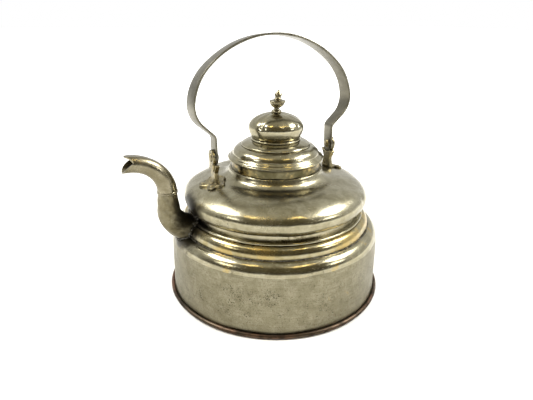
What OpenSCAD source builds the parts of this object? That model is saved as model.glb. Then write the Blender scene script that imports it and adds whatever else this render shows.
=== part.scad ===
// Stove kettle with a swan-neck spout, a swinging strap handle and a lift-off lid.
// The spout points to -X, the handle swings about the X axis and the kettle rests on z = 0.

/* [Drum] */
// Radius of the rolled copper edge at the bottom
rim_r = 110; // [106:0.5:116]
// Height of the rolled edge
rim_h = 4.6; // [4:0.1:6]
// How far the rolled edge stands out past the drum wall
rim_out = 3.6; // [3:0.1:5]
// Thickness of the copper bottom
pan_t = 1.5; // [1:0.1:2]
// Thickness of the sheet in the drum and the bulb
sheet_t = 1.2; // [0.8:0.1:1.6]
// Height of the crease between drum wall and shoulder
crease_z = 59.6; // [54:0.1:66]
// How far the drum wall draws in from foot to crease
drum_draw = 1.8; // [0:0.1:4]

/* [Shoulder and waist] */
// How far the shoulder curves in above the crease
shoulder_in = 9.6; // [7:0.1:12]
// Rise of the shoulder from crease to seam
shoulder_rise = 11.6; // [9:0.1:14]
// Set-back of the waist ring behind the seam
seam_step = 0.4; // [0.2:0.1:1]
// Height of the upright foot of the waist ring
waist_foot = 1.2; // [0.8:0.1:2]
// How far the waist ring curves in
waist_in = 6.8; // [5:0.1:8]
// Rise of the curved part of the waist ring
waist_rise = 9; // [8:0.1:11]
// Sheet thickness of the waist ring
waist_t = 1; // [0.8:0.1:1.4]
// Radius of the nose of the thin bead above the waist ring
bead_r = 1.3; // [0.9:0.1:1.8]
// How far the nose of the bead lies behind the top of the waist ring
bead_back = 0.5; // [0.2:0.1:1]
// How far the recessed neck band lies behind the waist ring's upper edge
neck_step = 3.8; // [3:0.1:5]

/* [Bulb] */
// How far the bulb stands out past the neck band
bulb_out = 7.6; // [6:0.1:9]
// Height of the bulb's widest line above the top of the bead
bulb_up = 15.9; // [14:0.1:18]
// Width of the curve under the widest line
bulb_under_w = 11; // [10:0.1:13]
// Depth of the curve under the widest line
bulb_under_h = 12.2; // [11.5:0.1:13.5]
// How far the level crest of the bulb lies inside the foot of the hollow sweep
crest_in = 8.9; // [6:0.1:12]
// Height of the curve above the widest line
bulb_over_h = 18.2; // [15:0.1:21]
// How far the neck band reaches up into the bulb
neck_lap = 2.6; // [1.8:0.1:4]
// Outer radius of the collar
collar_r = 43.9; // [42:0.1:46]
// Sheet thickness of the collar
collar_t = 1.2; // [0.8:0.1:1.6]
// Width of the ledge round the foot of the collar
collar_ledge = 2.4; // [1.5:0.1:3.5]
// Width of the hollow sweep from the bulb up to the collar
sweep_w = 11.6; // [9:0.1:14]
// Height of the hollow sweep
sweep_h = 8.8; // [7:0.1:11]
// Height of the collar above the ledge
collar_up = 10.2; // [8:0.1:13]
// How far the collar reaches down inside the bulb
collar_lap = 4.5; // [3:0.1:6]

/* [Lid] */
// Gap all round between the lid's skirt and the collar
lid_gap = 0.25; // [0.15:0.05:0.5]
// Thickness of the lid's sheet
lid_t = 1; // [0.7:0.1:1.3]
// Depth of the skirt inside the collar
skirt_h = 8.6; // [6:0.1:11]
// How far the lid's rim overhangs the skirt
lid_over = 4.65; // [3.8:0.05:6]
// Radius of the rounded lip of the rim
lip_r = 0.85; // [0.6:0.05:1.2]
// Height of the rim where the cushion starts
lid_rim_h = 3.8; // [3:0.1:5]
// How far the cushion draws in from the rim to the step
cushion_in = 8; // [6:0.1:9]
// Rise of the cushion
cushion_h = 7.3; // [6:0.1:10]
// How far the disc's edge lies inside the cushion's top edge
disc_step = 0.6; // [0.4:0.1:1.2]
// Height of the disc's upright edge
disc_edge = 1.8; // [1.2:0.1:2.6]
// Rise of the disc from its edge to the dome
disc_rise = 5.2; // [3:0.1:6]
// Radius of the dome's foot
dome_foot_r = 22.7; // [21:0.1:24]
// Radius of the small bead round the dome's foot
dome_bead_r = 0.9; // [0.6:0.1:1.2]
// Largest radius of the dome
dome_r = 27; // [25.4:0.1:28.4]
// Height of the dome's widest line above its foot
dome_mid = 9.8; // [8:0.1:12]
// Height of the dome above its widest line
dome_cap = 14.4; // [12:0.1:16]

/* [Finial] */
// Radius of the finial's foot
finial_foot_r = 4.8; // [4.2:0.1:5.6]
// Radius of the finial's thin stem
finial_stem_r = 2.5; // [2.2:0.1:3]
// Height of the urn's edge above the foot
urn_up = 11; // [10:0.1:13]
// Radius of the urn's edge
urn_r = 8; // [7:0.05:9]
// Radius of the bud
bud_r = 3.9; // [3.4:0.1:4.6]
// Height of the finial's tip above the foot
finial_h = 21.3; // [20:0.1:24]
// Radius of the stud that holds the finial
stud_r = 1.8; // [1.4:0.1:1.9]
// Height of the nut under the dome
nut_h = 2.6; // [2:0.1:3.6]
// Radius across the corners of the nut
nut_r = 3.7; // [3.2:0.1:4.2]
// How far the washer's edge lies inside the flat top of the dome
washer_set = 0.2; // [0.1:0.05:0.5]
// Thickness of the washer
washer_t = 0.8; // [0.6:0.1:1.2]

/* [Handle] */
// Width of the strap at the grip
strap_w = 17.4; // [15:0.1:19]
// Width of the strap's straight legs
leg_w = 14; // [13:0.1:14.8]
// Radius of the round ends of the strap
end_r = 7.6; // [7.4:0.1:8]
// Height above the pins at which the strap has its full width
wide_up = 52; // [40:0.5:70]
// Thickness of the strap
strap_t = 2.1; // [1.6:0.1:2.8]
// Distance from the middle of the kettle to the middle of a leg
leg_x = 61.8; // [60:0.1:64]
// Height of the straight leg above its pin
leg_h = 17.1; // [12:0.1:24]
// Bend radius over the crown
crown_r = 94; // [88:0.5:104]
// Bend radius of the upper side
side_r = 52; // [48:0.5:60]
// Bend radius where the strap turns in again
turn_r = 23.4; // [20:0.1:26]
// Bend radius at the top of the straight leg
knee_r = 5; // [4:0.1:8]
// Turn of the strap over half of the crown
crown_turn = 44; // [42:0.5:46]
// Turn of the strap along its upper side
side_turn = 38; // [36:0.5:40]
// Turn of the strap where it comes in again
inward_turn = 56; // [54:0.5:58]
// How far the handle and its ears sit off centre, towards the spout
handle_shift = 1.2; // [0:0.1:1.6]
// How far the handle leans back in the pose shown
lean = 4; // [0:0.5:10]

/* [Ears and pins] */
// Height of the handle pins above the bulb beside the ears
ear_h = 24.8; // [23:0.1:30]
// Thickness of the upright stem of an ear
stem_t = 4; // [3:0.1:5]
// Half of the width of the stem at its waist
stem_w = 5.4; // [4.5:0.1:6.5]
// Half of the width across the shoulder points
point_w = 9.6; // [9.4:0.1:10.4]
// Radius of the round eye of an ear
eye_r = 7.3; // [6.8:0.1:8]
// Thickness of the eye
eye_t = 2.6; // [2.2:0.1:3.4]
// Gap between strap and eye
eye_gap = 0.4; // [0.2:0.05:0.8]
// Gap round the strap's end
end_gap = 0.85; // [0.6:0.05:1.2]
// Thickness of an ear's foot on the bulb
foot_t = 2; // [1.5:0.1:3]
// Radius of a round lobe of the foot
lobe_r = 4.8; // [4.2:0.1:5.6]
// Distance of the lobes from the middle of the foot
lobe_out = 10.6; // [10.4:0.1:11.4]
// Radius of the middle of the foot
foot_r = 7.4; // [6.8:0.1:8]
// Angle between neighbouring lobes
lobe_step = 80; // [76:1:84]
// Turn of the foot on the spout side
spout_turn = 22; // [16:1:28]
// Turn of the foot on the far side, which has one lobe less
far_turn = 62; // [56:1:68]
// Reach of the hollow gusset between stem and foot
gusset_l = 5.6; // [3:0.1:6]
// Height of the gusset on the stem
gusset_h = 7; // [5:0.1:9]
// Radius of a handle pin
pin_r = 2.4; // [2:0.1:3]
// Radial play between pin and strap
pin_play = 0.08; // [0.03:0.01:0.1]
// Radius of a pin's heads
pin_head_r = 4.3; // [3.6:0.1:5]
// Height of a pin's heads
pin_head_h = 1.5; // [1:0.1:2]
// Radius of the round plate under a pin's inner head
rove_r = 5.6; // [5:0.1:6.5]
// Thickness of that plate
rove_t = 0.8; // [0.6:0.1:1.2]
// Play between that plate and the strap
rove_gap = 0.2; // [0.1:0.05:0.4]
// Height of the block that joins an eye to its stem
block_h = 12.4; // [11.5:0.1:14]
// Radius of a foot rivet
rivet_r = 1.5; // [1.2:0.1:1.8]
// Radius of a foot rivet's head
rivet_head_r = 2.6; // [2.2:0.1:2.8]
// Radius of the ball that rounds a rivet's head
rivet_ball = 3.1; // [2.9:0.1:3.5]

/* [Spout] */
// Outer radius of the spout at its root
root_r = 14.2; // [13.4:0.1:15]
// Outer radius of the spout at the seam ring
seam_r = 8.8; // [8.4:0.1:9.4]
// How the spout's elbow thins: 1 is even, more keeps it thick for longer
elbow_swell = 1.3; // [1:0.05:1.6]
// Outer radius of the neck near the mouth
mouth_r = 8; // [7.6:0.1:8.4]
// Wall of the spout
spout_t = 1.2; // [0.8:0.1:1.6]
// Distance from the bulb's widest line to the middle of the upright part of the spout
spout_out = 17.8; // [16:0.1:20]
// Length of the upright part below the seam ring
upright_l = 17.7; // [14:0.1:22]
// Bend radius of the elbow
elbow_bend = 20.5; // [18:0.1:24]
// Turn of the elbow, from its root up to the upright part
elbow_turn = 62; // [58:1:66]
// Height above the thin bead at which the elbow becomes upright
elbow_up = 13.8; // [12:0.1:17]
// Bend radius of the neck
neck_bend = 29; // [25:0.1:34]
// First turn of the neck away from upright
neck_turn = 62; // [56:1:68]
// Wider bend radius towards the mouth
lip_bend = 36; // [32:0.5:42]
// Length of the straight beak
beak_l = 5.6; // [4:0.1:8]
// Share of the neck's radius at which its top is flat near the mouth
flat_top = 0.88; // [0.8:0.01:0.94]
// Depth of the notch that parts the two lips
notch_l = 9.8; // [8:0.1:12]
// How far the tip of the upper lip lies behind that of the lower lip
lip_back = 2.9; // [1.5:0.1:4]
// Height of the notch's point above the middle of the neck
notch_up = 1.8; // [1:0.1:3]
// Length of the straight root of the elbow, which ends inside the body
root_l = 20; // [18:0.5:22]
// Length by which the elbow's sheet stops short of that root's inner end
root_s = 4; // [3:0.1:5]
// Gap between the spout and its seam ring
seam_gap = 0.1; // [0.05:0.01:0.2]
// How far the seam ring stands out from the spout
seam_out = 0.7; // [0.4:0.05:1.2]
// Height of the seam ring
seam_h = 1.8; // [1.2:0.1:2.6]
// Thickness of the solder collar round the spout's root
solder_t = 2.2; // [1.4:0.1:3]
// Radius of the hole from the kettle into the spout
passage_r = 4; // [3:0.1:4.4]

/* [Hidden] */
$fn = 96;

TINNED = "#a29e90";
BRASS = "#b39a5c";
COPPER = "#a86b50";
DARK = "#5f5a4c";

arc_n = 10;
wall_foot_r = rim_r - rim_out;
crease_r = wall_foot_r - drum_draw;
shoulder_cr = crease_r - shoulder_in;
shoulder_top = crease_z + shoulder_rise;
waist_r = shoulder_cr - seam_step;
waist_cr = waist_r - waist_in;
waist_cz = shoulder_top + waist_foot;
waist_top = waist_cz + waist_rise;
bead_cr = waist_cr - bead_back;
bead_top = waist_top + 2 * bead_r;
bulb_z = bead_top + bulb_up;
neck_r = waist_cr - neck_step;
neck_in = neck_r - sheet_t;
bulb_r = neck_r + bulb_out;
under_cr = bulb_r - bulb_under_w;
neck_meet = acos((neck_r - under_cr) / bulb_under_w);
neck_top = bulb_z - bulb_under_h * sin(neck_meet) + neck_lap;
ledge_r = collar_r + collar_ledge;
sweep_cr = ledge_r + sweep_w;
over_cr = sweep_cr - crest_in;
bulb_over_w = bulb_r - over_cr;
sweep_meet = acos((sweep_cr - over_cr) / bulb_over_w);
sweep_z0 = bulb_z + bulb_over_h * sin(sweep_meet);
ledge_z = sweep_z0 + sweep_h;
collar_top = ledge_z + collar_up;
collar_in = collar_r - collar_t;

skirt_r = collar_in - lid_gap;
skirt_in = skirt_r - lid_t;
lip_cr = skirt_r + lid_over - lip_r;
rim_top = collar_top + lid_rim_h;
cushion_top = rim_top + cushion_h;
cushion_top_r = skirt_r - cushion_in;
disc_r = cushion_top_r - disc_step;
disc_z = cushion_top + disc_edge;
dome_z = disc_z + disc_rise;
dome_cz = dome_z + dome_mid;
cap_meet = acos(finial_foot_r / dome_r);
dome_top = dome_cz + dome_cap * sin(cap_meet);
dome_under = dome_top - lid_t;

function bulb_surface_z(r) = bulb_z + bulb_over_h * sqrt(1 - pow((r - over_cr) / bulb_over_w, 2));
pin_z = bulb_surface_z(leg_x) + ear_h;
strap_out = leg_x + strap_t / 2;
strap_in = leg_x - strap_t / 2;
eye_x = strap_out + eye_gap;
eye_out = eye_x + eye_t;
stem_x = strap_in - eye_gap;
rove_x = strap_in - rove_gap - rove_t;

slope = crown_turn + side_turn + inward_turn;
bends_x = crown_r * sin(crown_turn)
        + side_r * (sin(crown_turn + side_turn) - sin(crown_turn))
        + turn_r * (sin(slope) - sin(crown_turn + side_turn));
slope_l = (bends_x - knee_r * (1 - sin(slope)) - leg_x) / -cos(slope);

// Points of an elliptical arc round (cx, cz), from angle a to angle b
function arc(cx, cz, w, h, a, b, n = arc_n) =
    [for (i = [0:n]) [cx + w * cos(a + (b - a) * i / n), cz + h * sin(a + (b - a) * i / n)]];
// Points of a curve from p to r that leans towards q
function bow(p, q, r, n = 6) =
    [for (i = [0:n]) let(t = i / n) (1 - t) * (1 - t) * p + 2 * t * (1 - t) * q + t * t * r];
function flip(list) = [for (i = [len(list) - 1:-1:0]) list[i]];

function bulb_outer(extra = 0) = concat(
    arc(under_cr, bulb_z, bulb_under_w + extra, bulb_under_h + extra, -neck_meet, 0),
    arc(over_cr, bulb_z, bulb_over_w + extra, bulb_over_h + extra, 0, sweep_meet, 14));
function sweep_outer(extra = 0) =
    arc(sweep_cr, ledge_z, sweep_w - extra, sweep_h - extra, -90, -180, 8);

// Outline of the whole body above the crease, for trimming what is soldered to it
function body_outline() = concat(
    arc(shoulder_cr, crease_z, shoulder_in, shoulder_rise, 0, 90),
    [[waist_r, shoulder_top]],
    arc(waist_cr, waist_cz, waist_in, waist_rise, 0, 90),
    arc(bead_cr, waist_top + bead_r, bead_r, bead_r, -90, 90, 6),
    [[neck_r, bead_top]],
    bulb_outer(), sweep_outer());

module turned(points) { rotate_extrude() polygon(points); }

module body_solid() {
    turned(concat([[0, rim_h], [crease_r, rim_h]], body_outline(), [[0, ledge_z]]));
}

module bottom_pan() {
    color(COPPER) cylinder(r = wall_foot_r, h = pan_t);
}

// Edge of the copper bottom, rolled round the foot of the drum
module foot_roll() {
    nose = rim_h / 2;
    color(COPPER) turned(concat(
        [[wall_foot_r, 0]], arc(rim_r - nose, nose, nose, nose, -90, 90, 8), [[wall_foot_r, rim_h]]));
}

module drum_wall() {
    color(TINNED) turned([
        [wall_foot_r, pan_t], [wall_foot_r, rim_h], [crease_r, crease_z],
        [crease_r - sheet_t, crease_z], [wall_foot_r - sheet_t, rim_h], [wall_foot_r - sheet_t, pan_t]]);
}

module shoulder_cover() {
    color(TINNED) turned(concat(
        arc(shoulder_cr, crease_z, shoulder_in, shoulder_rise, 0, 90),
        [[neck_in, shoulder_top], [neck_in, shoulder_top - sheet_t]],
        arc(shoulder_cr, crease_z, shoulder_in - sheet_t, shoulder_rise - sheet_t, 90, 0)));
}

// Hole from the kettle into the spout
module passage() {
    translate([-waist_r - waist_t, 0, waist_cz + 0.455 * waist_rise]) rotate([0, 90, 0])
        cylinder(r = passage_r, h = waist_r - neck_in + 2 * waist_t, $fn = 48);
}

module waist_ring() {
    color(BRASS) difference() {
        turned(concat(
            [[waist_r, shoulder_top]], arc(waist_cr, waist_cz, waist_in, waist_rise, 0, 90),
            [[neck_r, waist_top], [neck_r, waist_top - waist_t]],
            arc(waist_cr, waist_cz, waist_in - waist_t, waist_rise - waist_t, 90, 0),
            [[waist_r - waist_t, shoulder_top]]));
        passage();
    }
}

module waist_bead() {
    color(TINNED) turned(concat(
        [[neck_r, waist_top]], arc(bead_cr, waist_top + bead_r, bead_r, bead_r, -90, 90, 8),
        [[neck_r, bead_top]]));
}

module neck_band() {
    color(DARK) difference() {
        turned([[neck_in, shoulder_top], [neck_r, shoulder_top], [neck_r, neck_top], [neck_in, neck_top]]);
        passage();
    }
}

module bulb_shell() {
    inner_meet = acos((neck_r - under_cr) / (bulb_under_w - sheet_t));
    color(TINNED) difference() {
        turned(concat(
            bulb_outer(), sweep_outer(), [[collar_r, ledge_z], [collar_r, ledge_z - sheet_t]],
            flip(arc(sweep_cr, ledge_z, sweep_w + sheet_t, sweep_h + sheet_t, -90, -172, 8)),
            arc(over_cr, bulb_z, bulb_over_w - sheet_t, bulb_over_h - sheet_t, sweep_meet, 0, 14),
            arc(under_cr, bulb_z, bulb_under_w - sheet_t, bulb_under_h - sheet_t, 0, -inner_meet)));
        rivet_holes(far_lobes, -handle_shift);
        mirror([1, 0, 0]) rivet_holes(spout_lobes, handle_shift);
    }
}

module collar_band() {
    color(TINNED) turned([
        [collar_in, ledge_z - collar_lap], [collar_r, ledge_z - collar_lap],
        [collar_r, collar_top], [collar_in, collar_top]]);
}

module lid_skirt() {
    color(TINNED) turned([
        [skirt_in, collar_top - skirt_h], [skirt_r, collar_top - skirt_h],
        [skirt_r, rim_top], [skirt_in, rim_top]]);
}

module lid_rim() {
    color(TINNED) turned(concat(
        [[skirt_r, collar_top]], arc(lip_cr, collar_top + lip_r, lip_r, lip_r, -90, 90, 8),
        bow([lip_cr - 0.6, collar_top + 2 * lip_r + 0.1], [skirt_r + 0.8, rim_top - 1.4], [skirt_r, rim_top])));
}

module lid_cushion() {
    bulge = [skirt_r - 1.2, rim_top + cushion_h * 0.68];
    color(TINNED) turned(concat(
        bow([skirt_r, rim_top], bulge, [cushion_top_r, cushion_top]),
        [[disc_r - 2 * lid_t, cushion_top], [disc_r - 2 * lid_t, cushion_top - lid_t],
         [cushion_top_r - lid_t, cushion_top - lid_t]],
        bow([cushion_top_r - lid_t, cushion_top - lid_t], bulge - [lid_t, lid_t], [skirt_in, rim_top])));
}

module lid_disc() {
    color(TINNED) turned(concat(
        [[disc_r - 0.4, cushion_top], [disc_r, cushion_top + 0.5], [disc_r - 0.2, disc_z - 0.3]],
        bow([disc_r - 0.9, disc_z], [(disc_r + dome_foot_r) / 2, dome_z - 0.6], [dome_foot_r, dome_z]),
        [[dome_foot_r - lid_t, dome_z], [dome_foot_r - lid_t, dome_z - lid_t]],
        bow([dome_foot_r - lid_t, dome_z - lid_t], [(disc_r + dome_foot_r) / 2 - lid_t, dome_z - 0.6 - lid_t],
            [disc_r - 0.9 - lid_t, disc_z - lid_t]),
        [[disc_r - 0.4 - lid_t, cushion_top]]));
}

module dome_bead() {
    color(TINNED) turned(concat(
        [[dome_foot_r, dome_z]],
        arc(dome_foot_r + 0.5, dome_z + dome_bead_r, dome_bead_r, dome_bead_r, -90, 90, 8),
        [[dome_foot_r, dome_z + 2 * dome_bead_r]]));
}

module lid_dome() {
    side_z = dome_z + 2 * dome_bead_r;
    color(TINNED) turned(concat(
        [[dome_foot_r, dome_z], [dome_foot_r, side_z]],
        bow([dome_foot_r, side_z], [dome_r - 0.5, side_z + 2.6], [dome_r, dome_cz]),
        arc(0, dome_cz, dome_r, dome_cap, 4, cap_meet),
        [[stud_r, dome_top], [stud_r, dome_under], [finial_foot_r, dome_under]],
        arc(0, dome_cz, dome_r - lid_t, dome_cap - lid_t, cap_meet, 4),
        bow([dome_r - lid_t, dome_cz], [dome_r - 0.5 - lid_t, side_z + 2.6], [dome_foot_r - lid_t, side_z]),
        [[dome_foot_r - lid_t, dome_z]]));
}

// Turned knob: round foot, thin stem, urn with a sharp edge, small collar and pointed bud
module finial() {
    stud_end = dome_under - washer_t - nut_h - 1;
    edge = urn_up - 0.4;
    bud = (urn_up + finial_h) / 2 + 0.4;
    stem_top = 0.34 * urn_up;
    color(BRASS) turned(concat(
        [[0, stud_end], [stud_r, stud_end], [stud_r, dome_top]],
        [for (p = concat(
            [[finial_foot_r - 0.2, 0]],
            bow([finial_foot_r, 0.5], [finial_foot_r + 0.1, 2], [finial_foot_r - 1.2, 2.4]),
            bow([finial_stem_r + 0.5, 2.7], [finial_stem_r, 3], [finial_stem_r, stem_top]),
            bow([finial_stem_r + 0.5, stem_top + 0.7], [urn_r * 0.86, urn_up * 0.58], [urn_r - 0.5, edge - 0.7]),
            [[urn_r, edge], [urn_r - 0.3, urn_up]],
            bow([urn_r - 1.2, urn_up + 0.35], [finial_stem_r + 1.6, urn_up + 0.9], [finial_stem_r + 0.9, urn_up + 1.4]),
            [[finial_stem_r + 0.8, urn_up + 2.2], [finial_stem_r + 0.3, urn_up + 2.7], [finial_stem_r + 0.4, bud - 1.4]],
            bow([bud_r - 0.3, bud - 0.7], [bud_r + 0.3, bud], [bud_r - 0.7, bud + 0.9]),
            [[0.5, finial_h - 0.3], [0, finial_h]])) [p[0], dome_top + p[1]]]));
}

module finial_washer() {
    color(BRASS) translate([0, 0, dome_under - washer_t]) difference() {
        cylinder(r = finial_foot_r - washer_set, h = washer_t);
        translate([0, 0, -1]) cylinder(r = stud_r, h = washer_t + 2);
    }
}

module finial_nut() {
    color(BRASS) translate([0, 0, dome_under - washer_t - nut_h]) difference() {
        cylinder(r = nut_r, h = nut_h, $fn = 6);
        translate([0, 0, -1]) cylinder(r = stud_r, h = nut_h + 2);
    }
}

// Centre line of the spout in its upright plane: each station is [x, z, direction angle, length so far]
spout_x = bulb_r + spout_out;
elbow_top = bead_top + elbow_up;
seam_z = elbow_top + upright_l;
elbow_low = [-spout_x + elbow_bend * (1 - cos(elbow_turn)), elbow_top - elbow_bend * sin(elbow_turn)];
arc_elbow = elbow_bend * elbow_turn * PI / 180;
elbow_l = root_l + arc_elbow + upright_l;
last_turn = 90 - neck_turn;
arc_neck = neck_bend * neck_turn * PI / 180;
arc_lip = lip_bend * last_turn * PI / 180;
neck_l = arc_neck + arc_lip + beak_l;
neck_end = [-spout_x - neck_bend * (1 - cos(neck_turn)), seam_z + neck_bend * sin(neck_turn)];
lip_end = neck_end + lip_bend * [-cos(neck_turn), 1 - sin(neck_turn)];

function elbow_station(s) =
    s < root_l ? let(d = 180 - (90 - elbow_turn), back = root_l - s)
        [elbow_low[0] - back * cos(d), elbow_low[1] - back * sin(d), d]
  : s < root_l + arc_elbow ? let(left = elbow_turn - (s - root_l) / elbow_bend * 180 / PI)
        [-spout_x + elbow_bend * (1 - cos(left)), elbow_top - elbow_bend * sin(left), 90 + left]
  : [-spout_x, elbow_top + s - root_l - arc_elbow, 90];

function neck_station(s) =
    s < arc_neck ? let(a = s / neck_bend * 180 / PI)
        [-spout_x - neck_bend * (1 - cos(a)), seam_z + neck_bend * sin(a), 90 + a]
  : s < arc_neck + arc_lip ? let(a = neck_turn + (s - arc_neck) / lip_bend * 180 / PI)
        [neck_end[0] + lip_bend * (cos(a) - cos(neck_turn)),
         neck_end[1] + lip_bend * (sin(a) - sin(neck_turn)), 90 + a]
  : [lip_end[0] - (s - arc_neck - arc_lip), lip_end[1], 180];

function blend(a, b, t) = a + (b - a) * t;
function elbow_radius(s) = blend(root_r, seam_r, pow(s / elbow_l, elbow_swell));
function neck_radius(s) = blend(seam_r, mouth_r, min(1, s / arc_neck));
function neck_flat(s) = blend(1, flat_top, min(1, s / arc_neck));

// Ring of points round a station, with its top cut flat at the share "flat" of the radius
function ring(st, r, flat, sides) =
    [for (j = [0:sides - 1]) let(a = 360 * j / sides, up = min(cos(a), flat) * r)
        [st[0] + up * sin(st[2]), sin(a) * r, st[1] - up * cos(st[2])]];

// Triangles between two neighbouring rings of points, seen from outside
function band(i, sides) = [for (j = [0:sides - 1])
    let(k = (j + 1) % sides, a = i * sides + j, b = i * sides + k) each
    [[a, b + sides, b], [a, a + sides, b + sides]]];
function turn_over(faces, shift) = [for (f = faces) [f[0] + shift, f[2] + shift, f[1] + shift]];

// Closed tube through rings of outer and inner points
module tube(outer, inner) {
    sides = len(outer[0]);
    far = len(outer) * sides;
    last = far - sides;
    walls = [for (i = [0:len(outer) - 2]) each band(i, sides)];
    ends = [for (j = [0:sides - 1]) let(k = (j + 1) % sides) each
        [[j, far + k, far + j], [j, k, far + k],
         [last + j, far + last + j, far + last + k], [last + j, far + last + k, last + k]]];
    polyhedron(concat([for (r = outer) each r], [for (r = inner) each r]),
        concat(walls, turn_over(walls, far), ends), convexity = 6);
}

// Solid bar through rings of points
module rod(rings) {
    sides = len(rings[0]);
    last = (len(rings) - 1) * sides;
    walls = [for (i = [0:len(rings) - 2]) each band(i, sides)];
    ends = [for (j = [1:sides - 2]) each [[0, j, j + 1], [last, last + j + 1, last + j]]];
    polyhedron([for (r = rings) each r], concat(walls, ends), convexity = 6);
}

spout_sides = 24;
elbow_rings = 18;
function elbow_rings_at(extra, from, to, n) =
    [for (i = [0:n]) let(s = blend(from, to, i / n))
        ring(elbow_station(s), elbow_radius(s) + extra, 1, spout_sides)];

module spout_elbow() {
    color(DARK) difference() {
        tube(elbow_rings_at(0, root_s, elbow_l, elbow_rings),
             elbow_rings_at(-spout_t, root_s, elbow_l, elbow_rings));
        body_solid();
    }
}

module spout_solder() {
    start = 1.25 * root_s;
    solder_l = 1.1 * root_l;
    steps = 5;
    color(DARK) difference() {
        rod([for (i = [0:steps]) let(s = blend(start, solder_l, i / steps), thin = pow(i / steps, 2))
            ring(elbow_station(s), elbow_radius(s) + blend(solder_t, 0, thin) + spout_t / 4, 1, spout_sides)]);
        rod(elbow_rings_at(0, root_s, elbow_l, elbow_rings));
        body_solid();
    }
}

module spout_seam_ring() {
    r = elbow_radius(elbow_l - seam_h / 2) + seam_gap;
    color(TINNED) translate([-spout_x, 0, seam_z]) rotate_extrude($fn = 64) polygon(concat(
        [[r, -seam_h / 2]], arc(r, 0, seam_out, seam_h / 2, -60, 60, 6), [[r, seam_h / 2]]));
}

module spout_neck() {
    rings = 20;
    end_x = lip_end[0] - beak_l;
    mid_z = lip_end[1];
    top = mouth_r * flat_top;
    beyond = 6;
    stations = [for (i = [0:rings]) neck_l * i / rings];
    color(TINNED) difference() {
        tube([for (s = stations) ring(neck_station(s), neck_radius(s), neck_flat(s), spout_sides)],
             [for (s = stations) ring(neck_station(s), neck_radius(s) - spout_t, neck_flat(s), spout_sides)]);
        // The opening between the lips: the lower lip reaches furthest, the upper one is a short beak
        translate([end_x, 0, mid_z]) rotate([90, 0, 0])
            linear_extrude(height = 4 * mouth_r, center = true) polygon(concat(
                [[-beyond, -mouth_r - 1]],
                bow([0, -mouth_r - 0.1], [notch_l * 0.25, -mouth_r * 0.25], [notch_l, notch_up]),
                bow([notch_l, notch_up], [notch_l * 0.6, top - 1.8], [lip_back, top - spout_t / 2]),
                [[lip_back, top + 2], [-beyond, top + 2]]));
        // The upper lip narrows to a tip
        for (side = [-1, 1]) translate([end_x, 0, mid_z + notch_up]) linear_extrude(height = 12) polygon([
            [notch_l, side * mouth_r * 1.4], [notch_l, side * mouth_r * 0.86],
            [lip_back, side * mouth_r * 0.24], [-beyond, side * mouth_r * 0.2], [-beyond, side * mouth_r * 1.4]]);
    }
}

heart_x = leg_x + stem_t / 4;
// Lobes of an ear's foot, each with a rivet: directions are counted from the outward one
function lobes(turn, count) = [for (i = [0:count - 1]) let(a = turn + (i - 1) * lobe_step)
    [heart_x + lobe_out * cos(a), lobe_out * sin(a)]];
function middle_of(points) = let(n = len(points)) [
    heart_x + 0.4 * ([for (p = points) 1] * [for (p = points) p[0] - heart_x]) / n,
    0.4 * ([for (p = points) 1] * [for (p = points) p[1]]) / n];
spout_lobes = lobes(spout_turn, 3);
far_lobes = lobes(far_turn, 2);

module at_lobes(places, off) {
    for (p = places) translate([p[0] + off, p[1], bulb_surface_z(norm([p[0] + off, p[1]]))]) children();
}

module rivet_holes(places, off) {
    at_lobes(places, off) cylinder(r = rivet_r, h = 60, center = true, $fn = 32);
}

module foot_skin(top) {
    turned(concat([[over_cr, bulb_z - bulb_up / 2], [bulb_r + top, bulb_z - bulb_up / 2]],
        arc(over_cr, bulb_z, bulb_over_w + top, bulb_over_h + top, 0, 90, 16)));
}

// Half of the stem's outline, from its root up to its shoulder point
foot_z = bulb_surface_z(leg_x) + foot_t;
bury_z = bulb_z + 0.44 * bulb_over_h;
stem_side = concat(
    [[1.55 * stem_w, bury_z]],
    bow([1.37 * stem_w, foot_z], [stem_w, foot_z + 0.2 * ear_h], [stem_w, foot_z + 0.36 * ear_h]),
    [[point_w, pin_z - 0.92 * end_r], [0.9 * point_w, pin_z - 0.79 * end_r]]);

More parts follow.
